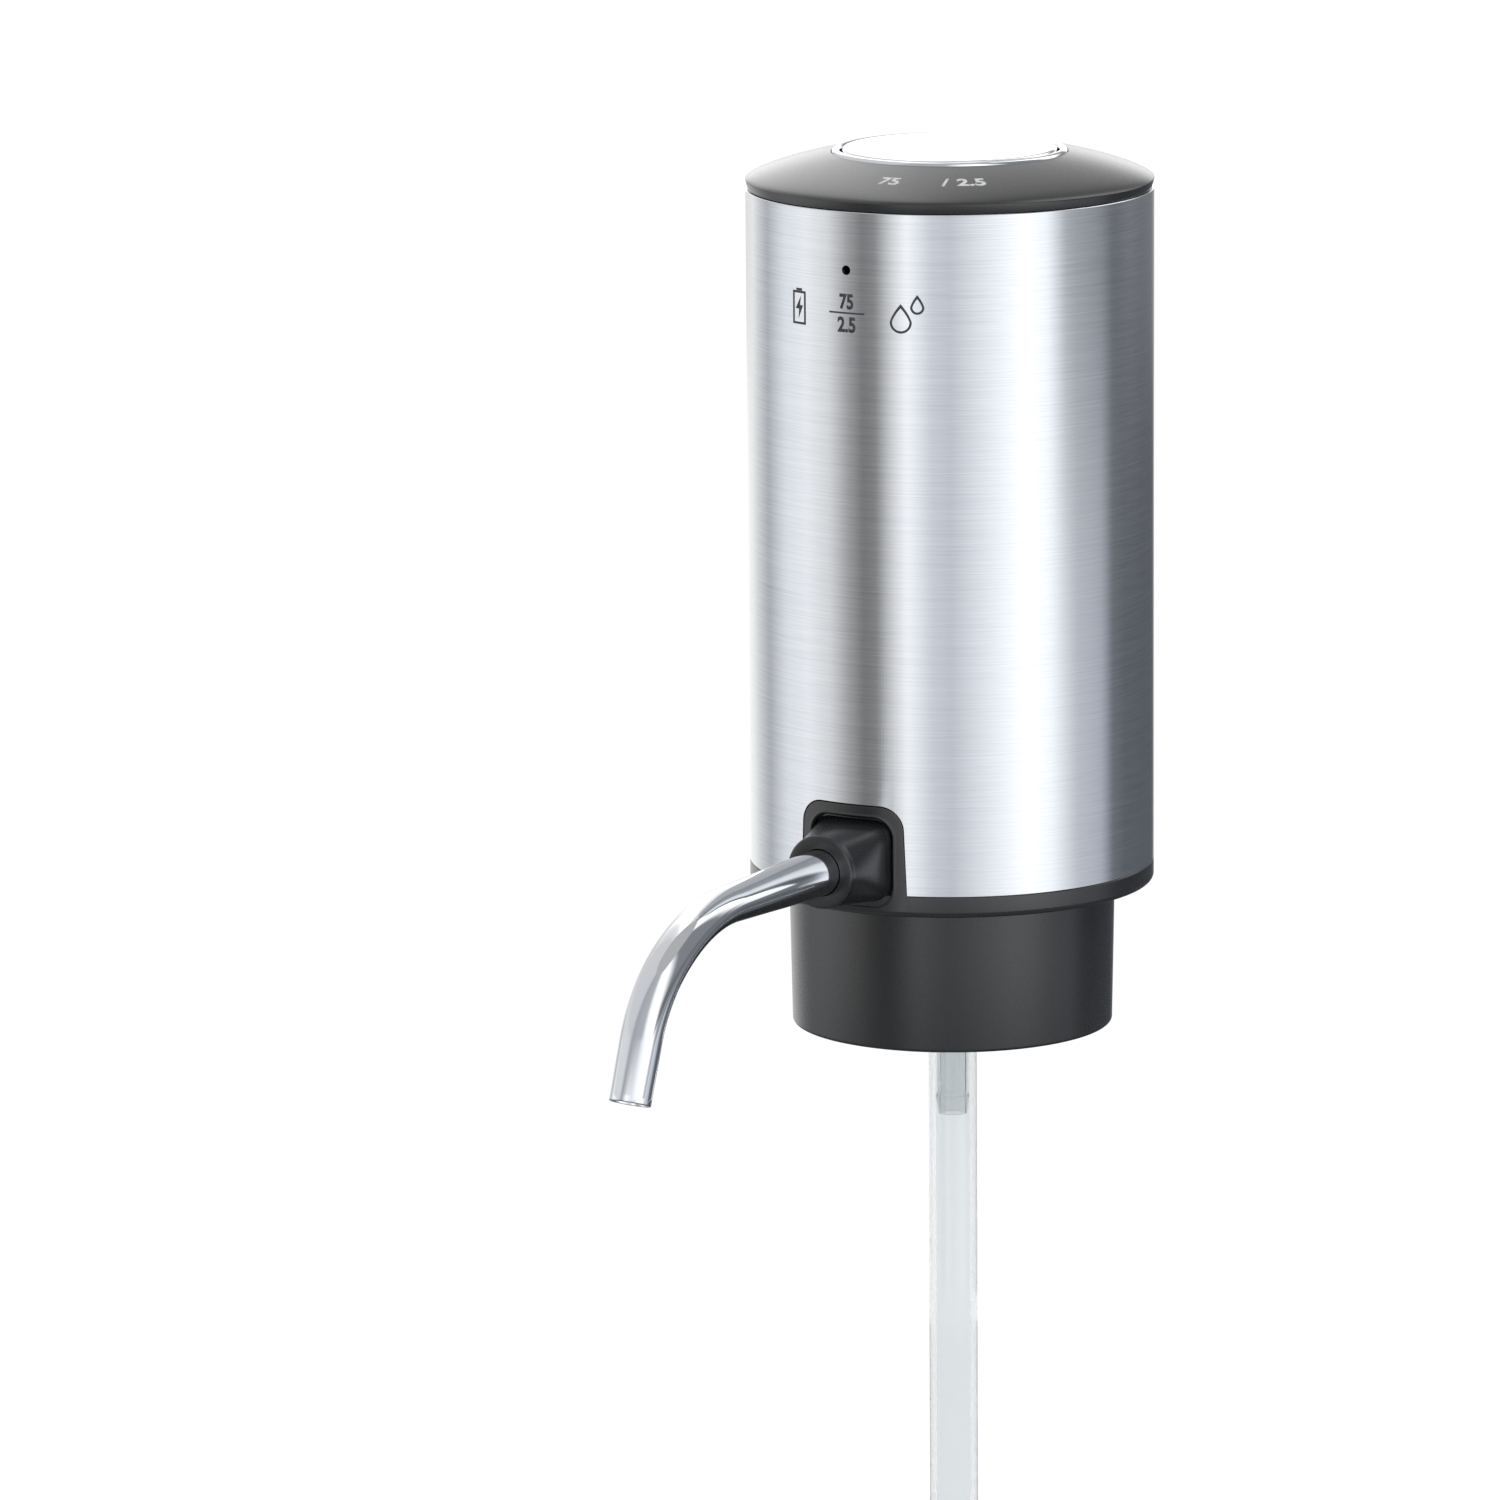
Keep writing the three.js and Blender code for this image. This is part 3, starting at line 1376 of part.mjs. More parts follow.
function ventPlunger() {
  const top = ventPlungerTop();
  return cut(
    disc(ventPlungerRadius, ventPlungerBottom(), top, smallSides),
    disc(ventPocket, top - ventPocketDepth, top + cutOverrun, smallSides),
  );
}

function ventSpring() {
  const low = ventPlungerTop() - ventPocketDepth + slipGap;
  const high = ventPlungerTop() + ventTravel + freeGap - slipGap;
  return helix("vent_spring", ventSpringRadius, ventSpringWire, ventSpringTurns, low, high);
}

function usbBoardPlate() {
  return cut(
    block(
      -usbBoardHalfWidth,
      usbBoardHalfWidth,
      usbEdge - usbBoardLength,
      usbEdge,
      usbBottom,
      usbTop,
    ),
    rodUp(usbPegRadius + slipGap, usbBottom - cutOverrun, usbTop + cutOverrun, 0, usbPostY, tinySides),
  );
}

// The socket: a flat shell with round ends and the tongue inside it
function usbSocket() {
  const middle = usbTop + usbHeight / 2;
  const half = usbHeight / 2;
  const round = half * roundShare;
  const outside = roundedShape(0, middle, usbHalfWidth, half, round);
  const inside = roundedShape(0, middle, usbHalfWidth - usbWall, half - usbWall, round - usbWall);
  const back = usbMouth - usbLength;
  const tongue = block(
    -usbTongueHalfWidth,
    usbTongueHalfWidth,
    back + usbWall,
    usbMouth - usbTongueInset,
    middle - usbTongue / 2,
    middle + usbTongue / 2,
  );
  return join(
    cut(
      prismForward(outside, -usbMouth, -back, tinySides),
      prismForward(inside, -usbMouth - cutOverrun, -back - usbWall - weldDepth, tinySides),
    ),
    tongue,
  );
}

function mainBoard() {
  const chips = [[-chipReach, 0], [chipReach, 0]].map(([x, y]) =>
    block(
      x - chipHalfWidth,
      x + chipHalfWidth,
      y - chipHalfWidth,
      y + chipHalfWidth,
      boardTop - weldDepth,
      boardTop + chipHeight,
    ),
  );
  return cut(
    join(disc(topDiscRadius, chassisTop, boardTop), ...chips),
    ...boardScrewPlaces.map(([x, y]) =>
      rodUp(screwShank + slipGap, chassisTop - cutOverrun, boardTop + cutOverrun, x, y, tinySides),
    ),
  );
}

function tactSwitch() {
  const top = boardTop + switchHeight;
  return cut(
    block(-switchHalfWidth, switchHalfWidth, -switchHalfWidth, switchHalfWidth, boardTop, top),
    disc(
      switchPlungerRadius + slipGap,
      top - switchPlungerIn - buttonTravel - freeGap,
      top + cutOverrun,
      smallSides,
    ),
  );
}

const switchTop = boardTop + switchHeight + switchPlungerOut;
const stemBottom = switchTop + freeGap;
const guideTop = stemBottom + guideThickness;
const plateBottom = buttonTop - buttonPlate;

// The cap: a straight band, a shallow dome, and a counterbored hole for the trim ring
function topCap() {
  const dome = new THREE.SplineCurve(
    domeShares.map(
      ([reachShare, riseShare]) =>
        new THREE.Vector2(
          THREE.MathUtils.lerp(trimRadius + slipGap, bodyRadius, reachShare),
          sleeveTop + THREE.MathUtils.lerp(capBand, capRise, riseShare),
        ),
    ),
  );
  const outline = dome.getPoints(8).map((point) => [point.x, point.y]);
  const lipSeat = trimTop - trimLip - slipGap;
  const hole = trimBore + trimNeck + slipGap;
  const skirtBottom = sleeveTop - capSkirt;
  const inner = capTop - capWall - trimLip;
  const shell = turnedRing(
    [
      [skirtBore, skirtBottom],
      [shellSpigot, skirtBottom],
      [shellSpigot, sleeveTop],
      [bodyRadius, sleeveTop],
      ...outline,
      [trimRadius + slipGap, lipSeat],
      [hole, lipSeat],
      [hole, inner],
      [hole + capWall, inner],
      [skirtBore, sleeveTop + capBand - capWall / 2],
    ],
    wideSides,
  );
  const bosses = guideScrewPlaces.map(([x, y]) =>
    rodUp(guideBossRadius, guideTop, sleeveTop + capBand + capWall / 2, x, y),
  );
  return cut(
    join(shell, ...bosses),
    ...guideScrewPlaces.map(([x, y]) =>
      screwHole("small", guideTop, guideScrewLength - guideThickness, x, y),
    ),
  );
}

function trimRing() {
  const neckBottom = trimTop - trimNeckDepth;
  return turnedRing(
    [
      [trimBore, neckBottom],
      [trimBore + trimNeck, neckBottom],
      [trimBore + trimNeck, trimTop - trimLip],
      [trimRadius, trimTop - trimLip],
      [trimRadius, trimTop],
      [trimBore, trimTop],
    ],
    wideSides,
  );
}

// The button: a plate with a soft edge, a skirt whose flange stops under the trim ring,
// a stem for the switch and a short cup that centres the spring
function pushButton() {
  const flangeTopZ = trimTop - trimNeckDepth - freeGap;
  const flangeBottom = flangeTopZ - buttonFlange;
  const skirtBore = buttonRadius - buttonSkirtWall;
  const cupBottom = plateBottom - springCupDepth;
  return turned(
    [
      [0, stemBottom],
      [stemRadius, stemBottom],
      [stemRadius, plateBottom],
      [springCupRadius, plateBottom],
      [springCupRadius, cupBottom],
      [springCupRadius + springCupWall, cupBottom],
      [springCupRadius + springCupWall, plateBottom],
      [skirtBore, plateBottom],
      [skirtBore, flangeBottom],
      [buttonRadius + buttonFlangeOut, flangeBottom],
      [buttonRadius + buttonFlangeOut, flangeTopZ],
      [buttonRadius, flangeTopZ],
      [buttonRadius, buttonTop - buttonFillet],
      [buttonRadius - buttonFillet, buttonTop],
      [0, buttonTop],
    ],
    wideSides,
  );
}

function buttonGuide() {
  const bottom = guideTop - guideThickness;
  return cut(
    pipe(stemRadius + freeGap, guideRadius, bottom, guideTop, wideSides),
    ...guideScrewPlaces.map(([x, y]) => screwHole("small", bottom, guideThickness, x, y)),
  );
}

// The shell, the base and what fastens them
add("outer_sleeve", outerSleeve(), brushedSteel);
add("base_housing", baseHousing(), darkPlastic);
add("neck_collar", neckCollar(), darkPlastic);
addScrews("collar_screw", "large", collarScrewPlaces, collarRoofBottom, collarScrewLength);
const baseScrewSeat = baseBottom + screwHeadHeight;
addScrews("base_screw", "large", baseScrewPlaces, baseScrewSeat, baseScrewLength);

// The way of the drink and of the air
add("wine_channel", drinkChannel(), clearPlastic);
const channelScrewSeat = baseBottom + smallHeadHeight;
addScrews("channel_screw", "small", channelScrewPlaces, channelScrewSeat, channelScrewLength);
add("bottle_stopper", stopper(), greySilicone);
const coreRing = add("core_o_ring", ringAround(coreRadius - ringWire + slipGap / 2), blackRubber);
coreRing.position.z = -coreRingDepth;
add("intake_tube", intakeTube(), clearPlastic);
add("spout_tube", spoutTube(), polishedSteel);
add("spout_seal", spoutSeal(), blackRubber);
const spoutRing = add(
  "spout_o_ring",
  ringAround(spoutRadius + ringWire + slipGap, smallSides),
  blackRubber,
);
spoutRing.position.set(0, spoutRingInset - ductMouth, spoutZ);
spoutRing.rotation.x = Math.PI / 2;

const left = new THREE.Vector3(-1, 0, 0);
const right = new THREE.Vector3(1, 0, 0);
const down = new THREE.Vector3(0, 0, -1);
const blockSide = airBlockHalfWidth + freeGap;
add(
  "pump_hose",
  hose(
    new THREE.Vector3(-blockSide, airOffset, airZ),
    left,
    new THREE.Vector3(pumpX, 0, chassisBottom - freeGap),
    down,
    hoseLead,
    hosePull,
  ),
  greySilicone,
);
add(
  "vent_hose",
  hose(
    new THREE.Vector3(blockSide, airOffset, airZ),
    right,
    new THREE.Vector3(ventX, ventY, chassisBottom - freeGap),
    down,
    hoseLead,
    ventHosePull,
  ),
  greySilicone,
);

// The chassis and what it carries
add("chassis_frame", chassisFrame(), whitePlastic);

const pump = new THREE.Group();
pump.position.x = pumpX;
object.add(pump);
add("pump_cover", pumpCover(), darkPlastic, pump);
add("valve_plate", valvePlate(), darkPlastic, pump);
add("outlet_valve", outletValve(), blackRubber, pump);
add("pump_diaphragm", diaphragm(), blackRubber, pump);
add("pump_frame", pumpFrame(), darkPlastic, pump);
add("pump_crank", crank(), whitePlastic, pump);
add("motor_can", motorCan(), zincSteel, pump);
add("motor_end_cap", motorCap(), darkPlastic, pump);
add("motor_bush", pipe(
  shaftRadius + slipGap,
  bushRadius,
  motorBottom - motorNose,
  motorBottom - motorNose + bushLength,
  smallSides,
), brass, pump);
add("motor_rotor", rotor(), copperWire, pump);
add("motor_magnet", magnet(Math.PI), ferrite, pump);
const wobble = new THREE.Group();
wobble.position.z = wobbleZ;
wobble.rotation.y = wobbleTilt;
pump.add(wobble);
add("wobble_plate", wobbleHub(), whitePlastic, wobble);
add("wobble_pin", disc(pinRadius, -pinDown, pinUp, smallSides), polishedSteel, wobble);
const pumpScrewSeat = chassisFloor + smallHeadHeight;
const pumpScrewWorld = pumpScrewPlaces.map(([x, y]) => [pumpX + x, y]);
addScrews("pump_screw", "small", pumpScrewWorld, pumpScrewSeat, pumpScrewLength);

const battery = new THREE.Group();
battery.position.x = batteryX;
object.add(battery);
add("battery_cell", batteryCell(), blueWrap, battery);
const padRadius = batteryRadius - batteryPadInset;
add("battery_pad", disc(padRadius, chassisFloor, chassisFloor + batteryPad), blackFoam, battery);
add("battery_tab_bottom", batteryStrip(batteryBottom - batteryTab), zincSteel, battery);
add("battery_tab_top", batteryStrip(batteryTop), zincSteel, battery);

const vent = new THREE.Group();
vent.position.set(ventX, ventY, 0);
object.add(vent);
add("vent_valve_body", ventBody(), darkPlastic, vent);
add("vent_coil", ventCoil(), copperWire, vent);
add("vent_core", ventCore(), zincSteel, vent);
add("vent_plunger", ventPlunger(), zincSteel, vent);
add("vent_spring", ventSpring(), springSteel, vent);

add("usb_board", usbBoardPlate(), greenBoard);
add("usb_socket", usbSocket(), zincSteel);

add("main_board", mainBoard(), greenBoard);
addScrews("board_screw", "large", boardScrewPlaces, boardTop, boardScrewLength, true);
add("status_light", block(
  -lightHalfWidth,
  lightHalfWidth,
  -topDiscRadius - lightOut,
  -topDiscRadius - lightOut + lightDepth,
  boardTop,
  lightZ + lightHalfHeight,
), whitePlastic);
add("tact_switch", tactSwitch(), darkPlastic);
const plungerLow = boardTop + switchHeight - switchPlungerIn;
add("switch_plunger", disc(switchPlungerRadius, plungerLow, switchTop, smallSides), blackRubber);

// The cap with the button and its spring
add("top_cap", topCap(), darkPlastic);
add("trim_ring", trimRing(), polishedSteel);
add("push_button", pushButton(), polishedSteel);
add("button_guide", buttonGuide(), whitePlastic);
const springLow = guideTop + slipGap;
const springHigh = plateBottom - slipGap;
add(
  "button_spring",
  helix("button_spring", springRadius, springWire, springTurns, springLow, springHigh),
  springSteel,
);
const guideScrewSeat = guideTop - guideThickness;
addScrews("guide_screw", "small", guideScrewPlaces, guideScrewSeat, guideScrewLength);

export default object;
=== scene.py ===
# %% [markdown]
# # An electric aerator, dressed around its CAD frame
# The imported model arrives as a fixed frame: every CAD node is a mesh in its place, and every moving
# body is an empty. All later pieces are modelled in the same metres, so nothing has to be fitted.

# %% Load the frame
import json
import math

import bpy
from mathutils import Matrix, Vector


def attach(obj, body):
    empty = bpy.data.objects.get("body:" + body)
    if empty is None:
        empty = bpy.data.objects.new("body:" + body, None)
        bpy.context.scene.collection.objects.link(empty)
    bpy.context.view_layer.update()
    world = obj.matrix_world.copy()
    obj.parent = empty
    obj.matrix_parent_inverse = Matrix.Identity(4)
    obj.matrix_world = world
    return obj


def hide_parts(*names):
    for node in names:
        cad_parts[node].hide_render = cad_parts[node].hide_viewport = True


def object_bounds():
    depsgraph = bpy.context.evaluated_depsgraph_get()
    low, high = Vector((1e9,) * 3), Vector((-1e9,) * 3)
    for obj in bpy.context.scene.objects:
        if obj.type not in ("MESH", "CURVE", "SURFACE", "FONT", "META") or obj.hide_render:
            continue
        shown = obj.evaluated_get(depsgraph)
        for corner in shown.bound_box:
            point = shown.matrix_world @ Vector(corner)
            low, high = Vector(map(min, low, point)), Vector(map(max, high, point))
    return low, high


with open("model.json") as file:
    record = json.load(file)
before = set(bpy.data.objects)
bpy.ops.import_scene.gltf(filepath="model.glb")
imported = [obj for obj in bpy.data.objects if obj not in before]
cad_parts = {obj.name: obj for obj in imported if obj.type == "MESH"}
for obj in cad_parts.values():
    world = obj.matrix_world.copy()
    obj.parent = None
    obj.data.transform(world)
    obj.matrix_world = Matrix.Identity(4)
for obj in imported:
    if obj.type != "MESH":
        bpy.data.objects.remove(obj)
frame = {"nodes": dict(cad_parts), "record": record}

MM = 0.001
cad_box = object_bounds()
print("CAD box in mm:", [round(side / MM, 1) for side in cad_box[1] - cad_box[0]])

# %% [markdown]
# ## The camera
# The photograph was taken from far away with a long lens, a little to the right of the spout and a
# little from above. The lens, place and turn were worked out from measured points, so they are
# plain numbers here. A long lens keeps the upright sides of the body nearly parallel.

# %% Camera
LENS = 241.5             # mm, on a sensor 36 mm wide
SENSOR = 36
CAMERA_AT = (0.7324, -1.2686, 0.31572)
CAMERA_TURN = (31.169, 78.818, -0.419)   # degrees round the upright, then down, then in the picture

camera = bpy.data.objects.new("camera", bpy.data.cameras.new("camera"))
bpy.context.scene.collection.objects.link(camera)
around, down, roll = (math.radians(turn) for turn in CAMERA_TURN)
camera.matrix_world = (
    Matrix.Translation(CAMERA_AT)
    @ Matrix.Rotation(around, 4, "Z")
    @ Matrix.Rotation(down, 4, "X")
    @ Matrix.Rotation(roll, 4, "Z")
)
camera.data.lens = LENS
camera.data.sensor_width = SENSOR
camera.data.clip_end = 20
bpy.context.scene.camera = camera
bpy.context.scene.view_settings.view_transform = "Standard"
print("camera at", CAMERA_AT)

# %% [markdown]
# ## Small helpers
# Colours are written as they look on a screen, in hex, and Blender reckons in linear light, so one
# function turns the first into the second. One more adds a node, sets it and links its inputs.

# %% Colour and node helpers
def colour(code):
    """An sRGB hex colour as the linear colour that a shader takes."""
    shown = [int(code[place:place + 2], 16) / 255 for place in (0, 2, 4)]
    linear = [
        part / 12.92 if part <= 0.04045 else ((part + 0.055) / 1.055) ** 2.4 for part in shown
    ]
    return (*linear, 1.0)


def put(tree, kind, inputs=None, **settings):
    """Adds a node with its settings; an input is given a value, or a socket to link."""
    node = tree.nodes.new(kind)
    for name, value in settings.items():
        setattr(node, name, value)
    for name, value in (inputs or {}).items():
        if isinstance(value, bpy.types.NodeSocket):
            tree.links.new(value, node.inputs[name])
        else:
            node.inputs[name].default_value = value
    return node


def fill_ramp(node, stops):
    """Gives a Color Ramp node its stops, as pairs of place and colour."""
    elements = node.color_ramp.elements
    while len(elements) < len(stops):
        elements.new(0.5)
    for element, (place, shade) in zip(elements, stops):
        element.position = place
        element.color = shade


def new_material(name):
    """A material and its tree, which is still empty."""
    material = bpy.data.materials.new(name)
    material.use_nodes = True
    material.node_tree.nodes.clear()
    return material, material.node_tree


print("colour 808080 is", [round(part, 3) for part in colour("808080")])


# %% [markdown]
# ## Helpers for modelling
# An operator works on what is selected, so these few functions keep the selection clean, apply
# modifiers and hand a finished piece over. Round parts are turned from half a section, as on a
# lathe; tubes and lofts are drawn out ring by ring.

# %% Modelling helpers
MERGE = 1e-7         # metres: points nearer than this are one


def deselect_all():
    """Operators work on all that is selected, so each piece starts from nothing selected."""
    if bpy.context.object and bpy.context.object.mode != "OBJECT":
        bpy.ops.object.mode_set(mode="OBJECT")
    bpy.ops.object.select_all(action="DESELECT")


def take(piece):
    """Selects one piece alone and makes it active."""
    deselect_all()
    bpy.context.view_layer.objects.active = piece
    piece.select_set(True)


def edit_all():
    """Puts the active piece in edit mode with all of it selected."""
    bpy.ops.object.mode_set(mode="EDIT")
    bpy.ops.mesh.select_all(action="SELECT")


def extrude(shift):
    """Extrudes what is selected by a shift in metres."""
    bpy.ops.mesh.extrude_region_move(TRANSFORM_OT_translate={"value": shift})


def settle(name):
    """Names the new piece and moves its place, turn and scale into its mesh."""
    piece = bpy.context.object
    piece.name = name
    piece.data.name = name
    bpy.ops.object.transform_apply(location=True, rotation=True, scale=True)
    return piece


def clean_up(piece):
    """Merges points that fall together and turns the faces outwards."""
    take(piece)
    edit_all()
    bpy.ops.mesh.remove_doubles(threshold=MERGE)
    bpy.ops.mesh.normals_make_consistent(inside=False)
    bpy.ops.object.mode_set(mode="OBJECT")


def apply_modifier(piece, kind, **settings):
    """Adds one modifier with its settings and applies it at once."""
    take(piece)
    modifier = piece.modifiers.new(kind.lower(), kind)
    for name, value in settings.items():
        setattr(modifier, name, value)
    bpy.ops.object.modifier_apply(modifier=modifier.name)


def smooth(piece, angle):
    """Smooth shading, but edges sharper than the angle stay crisp."""
    take(piece)
    bpy.ops.object.shade_smooth_by_angle(angle=math.radians(angle))


def hand_over(piece, body, slot, *nodes, material=None):
    """Gives a finished piece its slot's finish, or another, puts it on its body and hides its CAD
    nodes.
    """
    piece.data.materials.clear()
    piece.data.materials.append(material or slot_finish[slot])
    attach(piece, body)
    if nodes:
        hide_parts(*nodes)
    piece.data.calc_loop_triangles()
    print(f"{piece.name}: {len(piece.data.loop_triangles)} triangles, on {body}")


def turn(name, profile, steps=192):
    """Turns a profile of (radius, height) in mm once round the upright axis, as on a lathe."""
    deselect_all()
    first = (profile[0][0] * MM, 0, profile[0][1] * MM)
    bpy.ops.mesh.primitive_plane_add(size=MM, location=first)
    piece = settle(name)
    edit_all()
    bpy.ops.mesh.merge(type="CENTER")
    for (r0, z0), (r1, z1) in zip(profile, profile[1:]):
        extrude(((r1 - r0) * MM, 0, (z1 - z0) * MM))
    bpy.ops.mesh.select_all(action="SELECT")
    bpy.ops.mesh.spin(steps=steps, angle=2 * math.pi, center=(0, 0, 0), axis=(0, 0, 1))
    clean_up(piece)
    return piece


def draw_out(name, sides, places):
    """A circle drawn out ring by ring; places[k](angle) says where ring k's points go, in mm.

    The rings run once round the wall, outside and inside, and the last is then joined to the first.
    """
    deselect_all()
    bpy.ops.mesh.primitive_circle_add(vertices=sides, radius=1, fill_type="NOTHING")
    piece = settle(name)
    edit_all()
    for _ in places[1:]:
        extrude((0, 0, 1))
    bpy.ops.object.mode_set(mode="OBJECT")
    for vertex in piece.data.vertices:
        angle = math.atan2(vertex.co.y, vertex.co.x)
        vertex.co = Vector(places[round(vertex.co.z)](angle)) * MM
    clean_up(piece)
    bpy.ops.object.mode_set(mode="EDIT")
    bpy.ops.mesh.select_all(action="DESELECT")
    bpy.ops.mesh.select_non_manifold(extend=False)
    bpy.ops.mesh.bridge_edge_loops()
    clean_up(piece)
    return piece


print("points merge within", MERGE, "m")

# %% [markdown]
# ## The studio
# Bright metal shows little of itself and much of the room. A photographer stands such a body in a
# tent of white cloth with darker gaps, and the gaps become the soft upright bands on the steel.
# The tent here is a wide cylinder that only reflections can see; even light for the plastic comes
# from the world, and two lamps give it direction. The floor is white to the eye and still takes a
# shadow.

# %% World and floor
SKY = 0.88           # what lights the object evenly
SKY_MIRRORED = 0.70  # what polished metal shows of the sky over the tent
world = bpy.data.worlds.new("studio")
bpy.context.scene.world = world
world.use_nodes = True
tree = world.node_tree
tree.nodes.clear()
rays = put(tree, "ShaderNodeLightPath").outputs
strength = put(
    tree, "ShaderNodeMath", {0: rays["Is Camera Ray"], 1: 1 - SKY, 2: SKY}, operation="MULTIPLY_ADD"
)
strength = put(
    tree,
    "ShaderNodeMath",
    {0: rays["Is Glossy Ray"], 1: SKY_MIRRORED - SKY, 2: strength.outputs[0]},
    operation="MULTIPLY_ADD",
)
sky = put(tree, "ShaderNodeBackground", {"Strength": strength.outputs[0]})
put(tree, "ShaderNodeOutputWorld", {"Surface": sky.outputs[0]})

FLOOR_Z = cad_box[0].z - 0.5 * MM
FLOOR_SIDE = 16
FLOOR_GLOW = 1.06    # a little over white, to meet the background without an edge
GLOW_SHARE = 0.9     # how much of the floor glows; the rest is paper that takes the shadow
deselect_all()
bpy.ops.mesh.primitive_plane_add(size=FLOOR_SIDE, location=(0, 0, FLOOR_Z))
floor = settle("floor")
floor_white, tree = new_material("white_paper_floor")
rays = put(tree, "ShaderNodeLightPath").outputs
seen = put(
    tree,
    "ShaderNodeMath",
    {0: rays["Is Camera Ray"], 1: rays["Is Transmission Ray"]},
    operation="MAXIMUM",
)
seen = put(
    tree, "ShaderNodeMath", {0: seen.outputs[0], 1: rays["Is Glossy Ray"]}, operation="MAXIMUM"
)
share = put(tree, "ShaderNodeMath", {0: seen.outputs[0], 1: GLOW_SHARE}, operation="MULTIPLY")
paper = put(tree, "ShaderNodeBsdfDiffuse", {"Color": colour("f2f2f2")})
glow = put(tree, "ShaderNodeEmission", {"Color": (1, 1, 1, 1), "Strength": FLOOR_GLOW})
mixed = put(
    tree, "ShaderNodeMixShader", {0: share.outputs[0], 1: paper.outputs[0], 2: glow.outputs[0]}
)
put(tree, "ShaderNodeOutputMaterial", {"Surface": mixed.outputs[0]})
floor.data.materials.append(floor_white)
print("floor at", round(FLOOR_Z / MM, 1), "mm")

# %% The light tent
TENT_RADIUS = 0.8
TENT_LOW = -0.26
TENT_HIGH = 2.2
TENT_FULL = 2.4      # the level that a white stop stands for
# Each stop is an angle in degrees to the right of the camera, how bright the cloth is and how cool.
# The lower row is what the upright steel shows, and the others are what the spout and the cap show.
LOWER_ROW = [
    (-180, 1.12, 0), (-150, 1.10, 0), (-124, 0.60, 0.6), (-105, 1.12, 0.6), (-88, 1.27, 0.2),
    (-72, 1.02, 0), (-60, 0.53, 0), (-50, 0.24, 0), (-42, 0.30, 0), (-32, 0.99, 0.1),
    (-24, 1.45, 0.2), (-10, 0.98, 1), (0, 0.86, 1), (20, 1.31, 0.6), (43, 1.80, 0.3),
    (58, 1.60, 0.5), (75, 0.88, 0.9), (93, 0.70, 1.4), (103, 0.24, 1.8), (115, 0.16, 1.8),
    (162, 0.14, 1.8), (174, 0.8, 0), (180, 1.12, 0),
]
MIDDLE_ROW = [
    (-180, 0.70, 0), (-162, 0.88, 0), (-145, 1.08, 0), (-124, 0.62, 0.6), (-105, 1.15, 0.6),
    (-88, 1.30, 0.2), (-72, 1.05, 0), (-60, 0.50, 0), (-50, 0.26, 0), (-42, 0.34, 0),
    (-32, 1.00, 0.1), (-24, 1.46, 0.2), (-10, 0.90, 1), (0, 0.82, 1), (20, 1.20, 0.6),
    (42, 1.62, 0.3), (55, 1.50, 0.5), (67, 0.48, 1), (90, 0.30, 1), (104, 0.22, 1),
    (118, 0.24, 1), (158, 0.24, 1), (172, 0.50, 0), (180, 0.70, 0),
]
UPPER_ROW = [
    (-180, 1.80, 0), (-172, 2.40, 0), (-166, 2.30, 0), (-159, 0.90, 0), (-148, 0.75, 0),
    (-120, 0.90, 0), (-62, 0.90, 0.3), (-48, 0.45, 0.3), (-34, 1.00, 0.2), (-25, 1.40, 0),
    (0, 1.10, 0.5), (28, 1.50, 0.2), (45, 1.90, 0), (54, 0.50, 0.6), (62, 0.20, 1),
    (106, 0.22, 1), (116, 1.40, 0.3), (124, 1.40, 0.3), (134, 0.30, 0), (154, 0.30, 0),
    (163, 1.80, 0), (172, 2.40, 0), (180, 1.80, 0),
]
CEILING_ROW = [
    (-180, 1.05, 0), (-170, 1.90, 0), (-158, 1.90, 0), (-148, 1.05, 0), (-136, 0.80, 0),
    (-62, 0.80, 0.5), (-48, 0.50, 0.5), (-34, 0.55, 0.8), (-5, 0.60, 0.8), (12, 1.40, 0.3),
    (40, 1.70, 0.2), (52, 1.00, 0.5), (64, 0.30, 1), (102, 0.30, 1), (114, 1.80, 0),
    (134, 2.00, 0), (145, 0.60, 0), (156, 0.34, 0), (167, 0.80, 0), (180, 1.05, 0),
]
# The heights between which a row gives way to the next
ROW_SEAMS = ((-0.06, -0.02), (0.08, 0.13), (0.24, 0.38))
# The card below, which the spout's lower half shows, is darker behind the object.
CARD_ROW = [
    (-180, 0.22, 1), (-165, 0.28, 0.9), (95, 0.28, 0.9), (108, 0.15, 1), (150, 0.11, 1),
    (180, 0.22, 1),
]
COOL = (-0.07, -0.03, 0.04)   # what one step of cool adds to red, green and blue
CAMERA_SIDE = math.atan2(CAMERA_AT[1], CAMERA_AT[0])


def tent_shade(level, cool):
    """A grey of that level; a cool one has a little less red and more blue."""
    return (*(level / TENT_FULL * (1 + part * cool) for part in COOL), 1)


def studio_place(tree):
    """A point's parts as x, y and z, and its bearing to the right of the camera as 0 to 1."""
    place = put(tree, "ShaderNodeTexCoord").outputs["Object"]
    turned = put(
        tree,
        "ShaderNodeMapping",
        {"Vector": place, "Rotation": (0, 0, CAMERA_SIDE)},
        vector_type="TEXTURE",
    )
    parts = put(tree, "ShaderNodeSeparateXYZ", {0: turned.outputs[0]}).outputs
    bearing = put(tree, "ShaderNodeMath", {0: parts["Y"], 1: parts["X"]}, operation="ARCTAN2")
    along = put(
        tree,
        "ShaderNodeMapRange",
        {"Value": bearing.outputs[0], "From Min": -math.pi, "From Max": math.pi},
    )
    return parts, along.outputs[0]


def soft_bands(tree, along, row):
    """The shades of a row, blended from stop to stop."""
    bands = put(tree, "ShaderNodeValToRGB", {"Fac": along})
    fill_ramp(bands, [((angle + 180) / 360, tent_shade(level, cool)) for angle, level, cool in row])
    return bands.outputs[0]


